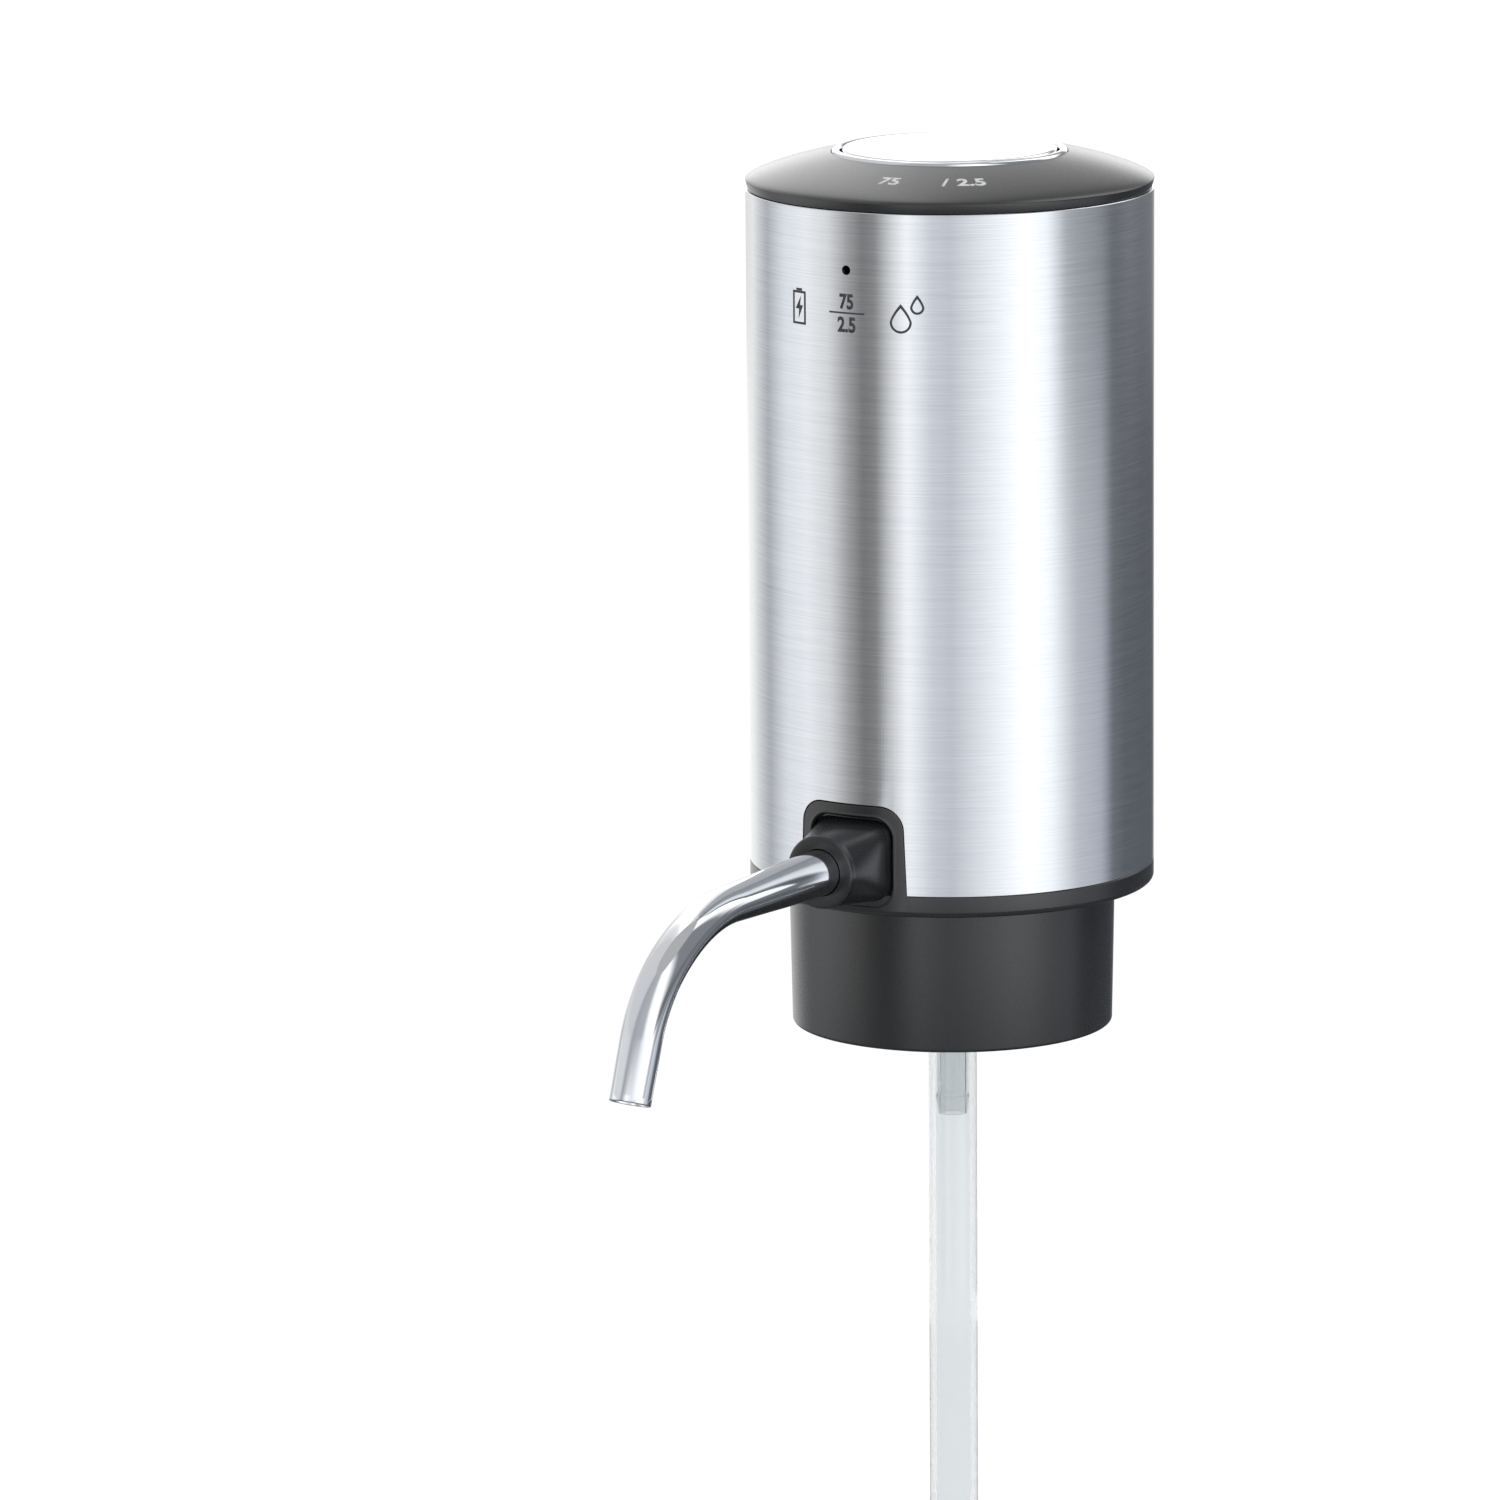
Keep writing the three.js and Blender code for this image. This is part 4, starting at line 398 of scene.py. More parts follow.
def mix_by_height(tree, height, low, high, first, second):
    """The first colour below, the second above, blended between two heights."""
    factor = put(
        tree,
        "ShaderNodeMapRange",
        {"Value": height, "From Min": low, "From Max": high},
        interpolation_type="SMOOTHSTEP",
    )
    inputs = {0: factor.outputs[0], 6: first, 7: second}
    return put(tree, "ShaderNodeMix", inputs, data_type="RGBA").outputs[2]


def give_glow(piece, material, shade):
    """A stage piece that only reflections can see, glowing in its shade."""
    tree = material.node_tree
    glow = put(tree, "ShaderNodeEmission", {"Color": shade, "Strength": TENT_FULL})
    put(tree, "ShaderNodeOutputMaterial", {"Surface": glow.outputs[0]})
    piece.data.materials.append(material)
    for kind in ("visible_camera", "visible_diffuse", "visible_shadow", "visible_transmission"):
        setattr(piece, kind, False)


deselect_all()
bpy.ops.mesh.primitive_cylinder_add(
    vertices=180,
    radius=TENT_RADIUS,
    depth=TENT_HIGH - TENT_LOW,
    end_fill_type="NOTHING",
    location=(0, 0, (TENT_HIGH + TENT_LOW) / 2),
)
tent = settle("light_tent")
tent_cloth, tree = new_material("lit_tent_cloth")
parts, along = studio_place(tree)
cloth_shade = soft_bands(tree, along, LOWER_ROW)
for seam, row in zip(ROW_SEAMS, (MIDDLE_ROW, UPPER_ROW, CEILING_ROW)):
    cloth_shade = mix_by_height(tree, parts["Z"], *seam, cloth_shade, soft_bands(tree, along, row))
give_glow(tent, tent_cloth, cloth_shade)
print("tent with", len(ROW_SEAMS) + 1, "rows of bands")

# %% A dim card below and two lamps
CARD_GAP = 0.01      # between the card and the cloth
CARD_LIFT = 0.2 * MM
LAMP_SIZE = 0.5
LAMP_REACH = 0.9
LAMP_AIM = Vector((0, 0, 0.04))
deselect_all()
bpy.ops.mesh.primitive_circle_add(
    vertices=96,
    radius=TENT_RADIUS - CARD_GAP,
    fill_type="NGON",
    location=(0, 0, FLOOR_Z + CARD_LIFT),
)
card = settle("dim_card")
card_grey, tree = new_material("dim_card_grey")
give_glow(card, card_grey, soft_bands(tree, studio_place(tree)[1], CARD_ROW))


def add_lamp(name, bearing, height, power):
    """A square lamp that points at the body; bearing is in degrees to the right of the camera."""
    light = bpy.data.lights.new(name, "AREA")
    light.shape = "SQUARE"
    light.size = LAMP_SIZE
    light.energy = power
    lamp = bpy.data.objects.new(name, light)
    bpy.context.scene.collection.objects.link(lamp)
    angle = CAMERA_SIDE + math.radians(bearing)
    lamp.location = (LAMP_REACH * math.cos(angle), LAMP_REACH * math.sin(angle), height)
    aim = LAMP_AIM - lamp.location
    lamp.rotation_euler = aim.to_track_quat("-Z", "Y").to_euler()
    lamp.visible_glossy = False
    lamp.visible_camera = False


add_lamp("key_lamp", 45, 0.9, 6)
add_lamp("back_lamp", -150, 0.7, 4)
print("lamps set")

# %% [markdown]
# ## The finishes
# Each finish starts from what the real thing is made of and how its surface was made. Patterns read
# Object coordinates, which are metres here, so a scale of 1000 / 0.25 makes a grain of 0.25 mm.

# %% A maker for finishes
NOISE_LOW = 0.3      # the noise at the two ends of a finish's ranges
NOISE_HIGH = 0.7


def finish(name, shade, roughness, grain, bump, mottle, settings=None, stretch=None):
    """A Principled finish with a fine grain in its roughness, its bump and a little in its colour.

    grain is the grain's size in mm, bump its height in mm, and mottle how far the colour varies.
    """
    material, tree = new_material(name)
    place = put(tree, "ShaderNodeTexCoord").outputs["Object"]
    if stretch:
        place = put(tree, "ShaderNodeMapping", {"Vector": place, "Scale": stretch}).outputs[0]
    noise = put(
        tree,
        "ShaderNodeTexNoise",
        {"Vector": place, "Scale": 1 / (grain * MM), "Detail": 3.0, "Roughness": 0.6},
    ).outputs["Fac"]
    low, high = roughness
    rough = put(
        tree,
        "ShaderNodeMapRange",
        {"Value": noise, "From Min": NOISE_LOW, "From Max": NOISE_HIGH,
         "To Min": low, "To Max": high},
    )
    base = colour(shade)
    dark = tuple(part * (1 - mottle) for part in base[:3]) + (1,)
    light = tuple(min(1, part * (1 + mottle)) for part in base[:3]) + (1,)
    tint = put(tree, "ShaderNodeValToRGB", {"Fac": noise})
    fill_ramp(tint, [(NOISE_LOW, dark), (NOISE_HIGH, light)])
    height = put(tree, "ShaderNodeBump", {"Height": noise, "Strength": 1, "Distance": bump * MM})
    surface = put(
        tree,
        "ShaderNodeBsdfPrincipled",
        {"Base Color": tint.outputs[0], "Roughness": rough.outputs[0],
         "Normal": height.outputs[0], **(settings or {})},
    )
    put(tree, "ShaderNodeOutputMaterial", {"Surface": surface.outputs[0]})
    return material


print("noise from", NOISE_LOW, "to", NOISE_HIGH)

# %% [markdown]
# ### Brushed stainless steel
# The sleeve is a drawn tube of stainless steel, brushed on a lathe. Each stroke runs round the
# body, so a highlight is smeared up and down but stays narrow sideways, which is why it shows as
# upright bands. The anisotropy does that; the fine lines come from a noise that is drawn out
# sideways.

# %% Brushed steel
LINE = 0.2           # mm from one brush line to the next, drawn a little coarse so that it shows
LINE_LENGTH = 11     # mm along the stroke
LINE_DEPTH = 0.0016  # mm
STREAK = (50, 50, 600)   # wider, fainter streaks: parts per metre along x, y and z
STREAK_SHARE = 0.15
BRUSH_LOW = 0.35     # the sum of lines and streaks lies between these two
BRUSH_HIGH = 0.8
brushed_steel, tree = new_material("brushed_stainless_steel")
place = put(tree, "ShaderNodeTexCoord").outputs["Object"]
drawn = put(
    tree,
    "ShaderNodeMapping",
    {"Vector": place, "Scale": (1 / (LINE_LENGTH * MM), 1 / (LINE_LENGTH * MM), 1 / (LINE * MM))},
)
lines = put(
    tree,
    "ShaderNodeTexNoise",
    {"Vector": drawn.outputs[0], "Scale": 1.0, "Detail": 3.0, "Roughness": 0.55},
).outputs["Fac"]
wide = put(tree, "ShaderNodeMapping", {"Vector": place, "Scale": STREAK})
streaks = put(
    tree, "ShaderNodeTexNoise", {"Vector": wide.outputs[0], "Scale": 1.0, "Detail": 3.0}
).outputs["Fac"]
both = put(
    tree, "ShaderNodeMath", {0: streaks, 1: STREAK_SHARE, 2: lines}, operation="MULTIPLY_ADD"
).outputs[0]
rough = put(
    tree,
    "ShaderNodeMapRange",
    {"Value": both, "From Min": BRUSH_LOW, "From Max": BRUSH_HIGH, "To Min": 0.14, "To Max": 0.175},
)
tint = put(tree, "ShaderNodeValToRGB", {"Fac": both})
fill_ramp(tint, [(BRUSH_LOW, colour("cbcdd0")), (BRUSH_HIGH, colour("d9dbde"))])
height = put(
    tree, "ShaderNodeBump", {"Height": lines, "Strength": 0.5, "Distance": LINE_DEPTH * MM}
)
round_axis = put(tree, "ShaderNodeTangent", direction_type="RADIAL", axis="Z")
surface = put(
    tree,
    "ShaderNodeBsdfPrincipled",
    {"Base Color": tint.outputs[0], "Metallic": 1.0, "Roughness": rough.outputs[0],
     "Anisotropic": 0.9, "Anisotropic Rotation": 0.25, "Tangent": round_axis.outputs[0],
     "Normal": height.outputs[0]},
)
put(tree, "ShaderNodeOutputMaterial", {"Surface": surface.outputs[0]})
print("brush lines every", LINE, "mm")

# %% [markdown]
# ### Moulded, polished and soft finishes
# The base, collar and cap are satin ABS from a lightly eroded mould, which gives a fine even grain.
# The spout, trim ring and button are polished steel: nearly a mirror, with faint waves left by the
# buffing wheel. The rest is what such a product hides: silicone, rubber, clear tube, foam, copper,
# brass and zinc-plated screws.

# %% The other finishes
METAL = {"Metallic": 1.0}
SHEEN = {"Specular IOR Level": 0.75}
SOFT = {"Subsurface Weight": 0.15, "Subsurface Scale": 0.002}
CLEAR = {"Transmission Weight": 0.94, "IOR": 1.47}
# By slot: name, colour, roughness from and to, grain, bump, mottle, then settings and stretch
LOOKS = {
    "dark_plastic": ("satin_black_abs", "17181a", (0.22, 0.29), 0.12, 0.0015, 0.06, SHEEN),
    "polished_steel": ("polished_stainless_steel", "dcdee1", (0.05, 0.08), 6, 0.001, 0.015, METAL),
    "grey_silicone": ("food_grade_silicone", "8d9092", (0.5, 0.62), 0.4, 0.01, 0.04, SOFT),
    "black_rubber": ("black_nitrile_rubber", "1c1c1d", (0.6, 0.75), 0.3, 0.01, 0.1),
    "clear_plastic": (
        "clear_extruded_tube", "f1f4f5", (0.03, 0.08), 8, 0.001, 0.01, CLEAR, (1, 1, 0.15)
    ),
    "white_plastic": ("white_moulded_pp", "e6e4de", (0.42, 0.52), 0.2, 0.004, 0.02),
    "zinc_steel": ("zinc_plated_steel", "b9babb", (0.32, 0.45), 0.3, 0.004, 0.08, METAL),
    "spring_steel": ("drawn_spring_steel", "a9abad", (0.25, 0.35), 0.2, 0.003, 0.06, METAL),
    "copper_wire": (
        "enamelled_copper_wire", "b06a3c", (0.28, 0.4), 0.25, 0.03, 0.12, METAL, (0.1, 0.1, 1)
    ),
    "brass": ("turned_brass", "c8a55c", (0.25, 0.36), 0.3, 0.003, 0.06, METAL),
    "ferrite": ("sintered_ferrite", "3a3a3c", (0.55, 0.7), 0.2, 0.01, 0.12),
    "green_board": ("green_solder_mask", "1f6b3f", (0.22, 0.34), 0.8, 0.01, 0.1),
    "blue_wrap": ("blue_shrink_wrap", "2a6fb5", (0.25, 0.36), 2, 0.01, 0.04),
    "black_foam": ("black_cell_foam", "222223", (0.85, 0.95), 0.5, 0.12, 0.25),
}
slot_finish = {slot: finish(*look) for slot, look in LOOKS.items()}
slot_finish["brushed_steel"] = brushed_steel
light_window = finish("smoked_light_window", "0c0c0d", (0.1, 0.16), 0.3, 0.001, 0.1)
button_mirror = finish("polished_button_steel", "e6e7e9", (0.06, 0.11), 5, 0.001, 0.01, METAL)
pale_ink = finish("pale_printed_ink", "c4c5c6", (0.4, 0.5), 0.1, 0.001, 0.04)
dark_ink = finish("dark_etched_marks", "33363a", (0.5, 0.62), 0.1, 0.002, 0.08)

for row in frame["record"]["subparts"]:
    node = frame["nodes"][row["node"]]
    node.data.materials.clear()
    node.data.materials.append(slot_finish[row["material_slot"]])
frame["nodes"]["status_light"].data.materials[0] = light_window

# %% [markdown]
# ## The steel sleeve
# The sleeve is a thin tube, cut for the panel at its front, for the light, and for the charging
# port at the back. It is turned as a ring with its wall, and the three openings are then cut with
# solid tools, as a laser would: a boolean keeps the wall's thickness at every edge.

# %% Sizes of the shell, in mm
BODY = 30.0          # radius
SLEEVE_WALL = 0.7
SLEEVE_EDGE = 0.08   # the broken edges at both ends
SLEEVE_LOW = 10.0
SLEEVE_HIGH = 110.3
SLIP = 0.15          # between the sleeve and the panel
PANEL_FOOT = 8.85
PANEL_TOP = 8.4
PANEL_HIGH = 23.07
PANEL_CORNER = 3.5
LIGHT_Z = 101.8
LIGHT_HOLE = 0.7
PORT_Z = 32.13
PORT_HALF = 4.82
PORT_HALF_HEIGHT = 1.98


def arc(centre, radius, start, end, steps):
    """Points on an arc, angles in degrees."""
    angles = (math.radians(start + (end - start) * step / steps) for step in range(steps + 1))
    return [(centre[0] + radius * math.cos(a), centre[1] + radius * math.sin(a)) for a in angles]


def tool(name, outline, low, high):
    """A solid from an outline of (x, z) in mm, drawn along y from low to high."""
    deselect_all()
    bpy.ops.mesh.primitive_circle_add(vertices=len(outline), radius=1, fill_type="NGON")
    piece = settle(name)
    for vertex, (x, z) in zip(piece.data.vertices, outline):
        vertex.co = Vector((x, low, z)) * MM
    edit_all()
    extrude((0, (high - low) * MM, 0))
    clean_up(piece)
    return piece


def cut_with(piece, cutter):
    """Takes the cutter's solid out of the piece, and the cutter away."""
    apply_modifier(piece, "BOOLEAN", object=cutter, operation="DIFFERENCE", solver="EXACT")
    bpy.data.objects.remove(cutter)


print("sleeve from", SLEEVE_LOW, "to", SLEEVE_HIGH, "mm")

# %% The sleeve
inner = BODY - SLEEVE_WALL
broken = BODY - SLEEVE_EDGE
sleeve_profile = [
    (inner, SLEEVE_LOW), (broken, SLEEVE_LOW), (BODY, SLEEVE_LOW + SLEEVE_EDGE),
    (BODY, SLEEVE_HIGH - SLEEVE_EDGE), (broken, SLEEVE_HIGH), (inner, SLEEVE_HIGH),
    (inner, SLEEVE_LOW),
]
sleeve = turn("steel_sleeve", sleeve_profile, steps=360)
foot = PANEL_FOOT + SLIP
top = PANEL_TOP + SLIP
corner = PANEL_CORNER + SLIP
high = PANEL_HIGH + SLIP
THROUGH = 40         # how far a cutting tool reaches
notch = [(-foot, SLEEVE_LOW - 1), (foot, SLEEVE_LOW - 1)]
notch += arc((top - corner, high - corner), corner, 0, 90, 24)
notch += arc((corner - top, high - corner), corner, 90, 180, 24)
cut_with(sleeve, tool("notch_tool", notch, -THROUGH, 0))
port = arc((PORT_HALF - PORT_HALF_HEIGHT, PORT_Z), PORT_HALF_HEIGHT, -90, 90, 24)
port += arc((PORT_HALF_HEIGHT - PORT_HALF, PORT_Z), PORT_HALF_HEIGHT, 90, 270, 24)
cut_with(sleeve, tool("port_tool", port, 0, THROUGH))
cut_with(sleeve, tool("light_tool", arc((0, LIGHT_Z), LIGHT_HOLE, 0, 345, 23), -THROUGH, 0))
smooth(sleeve, 20)
hand_over(sleeve, "housing", "brushed_steel", "outer_sleeve")

# %% [markdown]
# ## The base: rim, panel, well and boss
# This is one moulding on the real object. Its rim is turned. The panel fills the notch and has a
# shallow well, and both follow the body's round, so the panel is a fine grid whose points are
# pressed in by how far they lie from the two outlines. The boss is drawn out ring by ring from a
# rounded square in the well to the round nose.

# %% The rim and the wall inside the sleeve
RIM_LOW = 6.8
RIM_FILLET = 0.9
SPIGOT = 29.15
SPIGOT_HIGH = 25.0
BASE_BORE = 27.35
FLOOR_TOP = 9.0
CORE_HOLE = 5.8
RIM = BODY - 0.012   # a hair less than the panel, which lies over it
RIM_EDGE = 0.12

rim_profile = [
    (CORE_HOLE, RIM_LOW),
    *arc((RIM - RIM_FILLET, RIM_LOW + RIM_FILLET), RIM_FILLET, -90, 0, 8),
    (RIM, SLEEVE_LOW - RIM_EDGE), (RIM - RIM_EDGE, SLEEVE_LOW), (SPIGOT, SLEEVE_LOW),
    (SPIGOT, SPIGOT_HIGH), (BASE_BORE, SPIGOT_HIGH), (BASE_BORE, FLOOR_TOP),
    (CORE_HOLE, FLOOR_TOP), (CORE_HOLE, RIM_LOW),
]
base_rim = turn("base_rim", rim_profile, steps=240)
smooth(base_rim, 40)
hand_over(base_rim, "housing", "dark_plastic", "base_housing")

# %% The panel with its well
WELL_HALF = 6.65
WELL_HALF_HEIGHT = 6.38
WELL_CORNER = 2.8
WELL_Z = 14.78
WELL_DEPTH = 1.2
WELL_FILLET = 0.5
LIP_WIDE = 0.7       # a fine raised lip round the well catches the light
LIP_HIGH = 0.1
WELL_SLOPE = 7       # how steeply the well's wall goes down
PANEL_WALL = 0.6
PANEL_FILLET = 0.12
PANEL_SLOPE = 12     # how steeply the panel goes down outside its outline
PANEL_SUNK = 1.0     # and how far
PANEL_LOW = RIM_LOW + RIM_FILLET
CELL = 0.1           # between the grid's points
MARGIN = 0.35        # how far the grid goes on under the sleeve


def panel_distance(x, z):
    """Distance in mm from the panel's edge, negative inside."""
    arc_z = PANEL_HIGH - PANEL_CORNER
    if z < arc_z:
        share = max(0, (z - SLEEVE_LOW) / (arc_z - SLEEVE_LOW))
        return abs(x) - (PANEL_FOOT + (PANEL_TOP - PANEL_FOOT) * share)
    beside = max(0, abs(x) - (PANEL_TOP - PANEL_CORNER))
    return math.hypot(beside, z - arc_z) - PANEL_CORNER


def box_distance(x, z, half, half_height, corner):
    """Distance in mm from a rounded rectangle's edge, negative inside."""
    across = abs(x) - (half - corner)
    rise = abs(z) - (half_height - corner)
    outside = math.hypot(max(0, across), max(0, rise))
    return outside + min(0, max(across, rise)) - corner


def fillet_drop(distance, radius):
    """How far a round edge has dropped, at a distance before the edge."""
    into = min(radius, max(0, radius - distance))
    return radius - math.sqrt(radius**2 - into**2)


def press_depth(x, z):
    """How deep the panel is pressed in at a place, in mm."""
    edge = panel_distance(x, z)
    depth = fillet_drop(-edge, PANEL_FILLET)
    if edge > 0:
        depth += min(PANEL_SUNK, edge * PANEL_SLOPE)
    well = box_distance(x, z - WELL_Z, WELL_HALF, WELL_HALF_HEIGHT, WELL_CORNER)
    if well > 0:
        lip = LIP_HIGH * math.sin(math.pi * min(1, well / LIP_WIDE)) ** 2
        return max(depth, fillet_drop(well, WELL_FILLET)) - lip
    return min(WELL_DEPTH, WELL_FILLET - well * WELL_SLOPE)


wide_cells = round(2 * (PANEL_FOOT + MARGIN) / CELL)
high_cells = round((PANEL_HIGH + MARGIN - PANEL_LOW) / CELL)
deselect_all()
bpy.ops.mesh.primitive_grid_add(x_subdivisions=wide_cells, y_subdivisions=high_cells, size=1)
panel = settle("base_panel")
for vertex in panel.data.vertices:
    x = vertex.co.x * 2 * (PANEL_FOOT + MARGIN)
    z = PANEL_LOW + (vertex.co.y + 0.5) * (PANEL_HIGH + MARGIN - PANEL_LOW)
    radius = BODY - press_depth(x, z)
    vertex.co = Vector((x, -math.sqrt(radius**2 - x**2), z)) * MM
apply_modifier(panel, "SOLIDIFY", thickness=PANEL_WALL * MM, offset=-1)
clean_up(panel)
smooth(panel, 60)
hand_over(panel, "housing", "dark_plastic", "base_housing")

# %% The boss and its nose
GROOVE = 0.32        # between the well's wall and the boss
ROOT_FLARE = 0.24    # how far the boss spreads at the well's floor
FLARE_SHARE = 0.12   # over this share of its length
SPOUT_Z = 14.5
NOSE = 38.6          # how far forward the nose ends
NOSE_RADIUS = 5.45
NOSE_LIP = 1.1       # the straight end of the nose
NOSE_FILLET = 0.34
HOLE = 3.48          # radius, for the spout
HOLE_EDGE = 0.1
NOSE_WALL = 1.7
SQUARENESS = 5       # 2 is an ellipse, and more is squarer
BUSH_BORE = 4.55
BOSS_STEPS = 48


def square_reach(angle, half, half_height):
    """Distance from the middle of a soft square to its edge, at an angle."""
    power = SQUARENESS
    across = abs(math.cos(angle)) / half
    rise = abs(math.sin(angle)) / half_height
    return (across**power + rise**power) ** (-1 / power)


def boss_ring(forward, radius):
    """A round ring of the nose, across the spout's axis."""
    return lambda angle: (math.cos(angle) * radius, -forward, SPOUT_Z + math.sin(angle) * radius)


def loft_ring(forward, share, spread=0.0):
    """A ring between the soft square of the root, at share 0, and the round nose, at share 1."""
    middle = WELL_Z + (SPOUT_Z - WELL_Z) * share

    def place(angle):
        root = square_reach(angle, WELL_HALF - GROOVE, WELL_HALF_HEIGHT - GROOVE)
        reach = root * (1 - share) + NOSE_RADIUS * share + spread
        return (math.cos(angle) * reach, -forward, middle + math.sin(angle) * reach)

    return place


boss_rings = [loft_ring(BASE_BORE, 0.0)]
for step in range(BOSS_STEPS + 1):
    share = step / BOSS_STEPS
    forward = BODY - WELL_DEPTH + (NOSE - NOSE_LIP - BODY + WELL_DEPTH) * share
    spread = ROOT_FLARE * max(0, 1 - share / FLARE_SHARE) ** 2
    boss_rings.append(loft_ring(forward, share, spread))
for outward, ahead in arc((0, 0), NOSE_FILLET, 0, 90, 5):
    boss_rings.append(boss_ring(NOSE - NOSE_FILLET + ahead, NOSE_RADIUS - NOSE_FILLET + outward))
for outward, ahead in arc((0, 0), HOLE_EDGE, 90, 180, 3):
    boss_rings.append(boss_ring(NOSE - HOLE_EDGE + ahead, HOLE + HOLE_EDGE + outward))
boss_rings += [boss_ring(NOSE - NOSE_WALL, radius) for radius in (HOLE, BUSH_BORE)]
boss_rings.append(boss_ring(BASE_BORE, BUSH_BORE))
boss = draw_out("spout_boss", 128, boss_rings)
smooth(boss, 40)
hand_over(boss, "housing", "dark_plastic", "base_housing")

# %% [markdown]
# ## The collar, the cap and the button
# These are true turned shapes, so each is one profile spun once round. The cap's dome leaves its
# band at a small round edge and flattens towards the trim ring.

# %% The collar
COLLAR_TOP = 24.2
COLLAR_FOOT = 23.8
COLLAR_LOW = -14.7
COLLAR_BORE = 21.8
COLLAR_EDGE = 0.15   # the broken edge at the bore's foot
COLLAR_FILLET = 0.5  # at the outer foot
ROOF_UNDER = 4.3
ROOF_FILLET = 0.6    # where the bore meets the roof
collar_profile = [
    (CORE_HOLE, ROOF_UNDER), (COLLAR_BORE - ROOF_FILLET, ROOF_UNDER),
    *arc((COLLAR_BORE - ROOF_FILLET, ROOF_UNDER - ROOF_FILLET), ROOF_FILLET, 90, 0, 6),
    (COLLAR_BORE, COLLAR_LOW + COLLAR_EDGE), (COLLAR_BORE + COLLAR_EDGE, COLLAR_LOW),
    *arc((COLLAR_FOOT - COLLAR_FILLET, COLLAR_LOW + COLLAR_FILLET), COLLAR_FILLET, -90, 0, 8),
    (COLLAR_TOP, RIM_LOW - 0.05), (COLLAR_TOP - 0.1, RIM_LOW),
    (CORE_HOLE, RIM_LOW), (CORE_HOLE, ROOF_UNDER),
]
collar = turn("neck_shroud", collar_profile, steps=240)
smooth(collar, 30)
hand_over(collar, "housing", "dark_plastic", "neck_collar")

# %% The cap
CAP_BAND = 111.8     # height of the band's upper edge
CAP_TAPER = 0.28     # how far the band draws in to its foot, so that it shows darker
CAP_EDGE = 0.16      # the small round where the band meets the dome
SKIRT = 29.1         # the skirt inside the sleeve
SKIRT_BORE = 27.55
SKIRT_LOW = 103.5
SEAT = 16.85         # the bore that the trim ring sits in, and its shelf
SEAT_LOW = 113.2
SEAT_TOP = 115.2
TRIM = 17.4
TRIM_BORE = 16.05


def bezier(points, steps):
    """Points along a cubic curve from its four control points."""
    curve = []
    for step in range(steps + 1):
        t = step / steps
        weights = ((1 - t) ** 3, 3 * t * (1 - t) ** 2, 3 * t**2 * (1 - t), t**3)
        curve.append(tuple(sum(w * p[k] for w, p in zip(weights, points)) for k in (0, 1)))
    return curve


cap_curve = bezier(
    [(BODY - 0.14, CAP_BAND + 0.02), (29.0, 112.65), (23.5, 114.5), (17.6, 115.62)], 40
)
cap_profile = [
    (SKIRT_BORE, SKIRT_LOW), (SKIRT, SKIRT_LOW), (SKIRT, SLEEVE_HIGH + 0.02),
    (29.6, SLEEVE_HIGH + 0.02), (BODY - CAP_TAPER, SLEEVE_HIGH + 0.12),
    *arc((BODY - CAP_EDGE, CAP_BAND - CAP_EDGE), CAP_EDGE, -8, 50, 5), *cap_curve,
    (TRIM + 0.08, 115.65), (TRIM + 0.02, 115.57), (TRIM + 0.02, SEAT_TOP), (SEAT, SEAT_TOP),
    (SEAT, SEAT_LOW), (SEAT + 2, SEAT_LOW), (SKIRT_BORE, 110.5), (SKIRT_BORE, SKIRT_LOW),
]
cap = turn("cap_dome", cap_profile, steps=240)
smooth(cap, 25)
hand_over(cap, "housing", "dark_plastic", "top_cap")

# %% The trim ring and the button
TRIM_CREST = 116.12
TRIM_RISE = 0.75     # from the ring's outer foot to its rounded crest
TRIM_LOW = 113.4
TRIM_FLANGE = 115.3  # where the ring's flange lies on the cap
TRIM_SLIM = 0.04     # how much less than its seat the ring is
trim_profile = [(TRIM_BORE, TRIM_LOW), (16.7, TRIM_LOW)]
trim_profile += [(16.7, TRIM_FLANGE), (TRIM - 0.06, TRIM_FLANGE)]
trim_middle = (TRIM - TRIM_SLIM + TRIM_BORE) / 2
for across, rise in arc((0, 0), 1.0, 0, 180, 20):
    radius = trim_middle + across * (TRIM - TRIM_SLIM - trim_middle)
    trim_profile.append((radius, TRIM_CREST - TRIM_RISE + TRIM_RISE * rise))
trim_profile += [(TRIM_BORE, TRIM_LOW)]
trim = turn("trim_band", trim_profile, steps=240)
smooth(trim, 40)
hand_over(trim, "housing", "polished_steel", "trim_ring")

BUTTON = 15.75
BUTTON_TOP = 116.2
BUTTON_FILLET = 0.45
BUTTON_UNDER = 114.0     # the disc's underside, from which stem, ring and skirt hang
button_profile = [
    (0, 106.55), (2.6, 106.55), (2.6, BUTTON_UNDER),
    (6.3, BUTTON_UNDER), (6.3, 112.6), (7.3, 112.6), (7.3, BUTTON_UNDER),
    (14.35, BUTTON_UNDER), (14.35, 112.1), (16.45, 112.1), (16.45, 113.05), (BUTTON, 113.05),
    *arc((BUTTON - BUTTON_FILLET, BUTTON_TOP - BUTTON_FILLET), BUTTON_FILLET, 0, 90, 8),
    *((BUTTON * share, BUTTON_TOP) for share in (0.75, 0.5, 0.25, 0)),
]
button = turn("press_button", button_profile, steps=240)
smooth(button, 30)
hand_over(button, "button", "polished_steel", "push_button", material=button_mirror)

# %% [markdown]
# ## The spout
# A steel tube, bent down in two arcs after it was drawn thinner to its tip. Bending presses it a
# little flat. Rings are placed along the middle line, each turned across it, first outside from
# the root to the tip and then back inside, so that the wall and the open end are real.

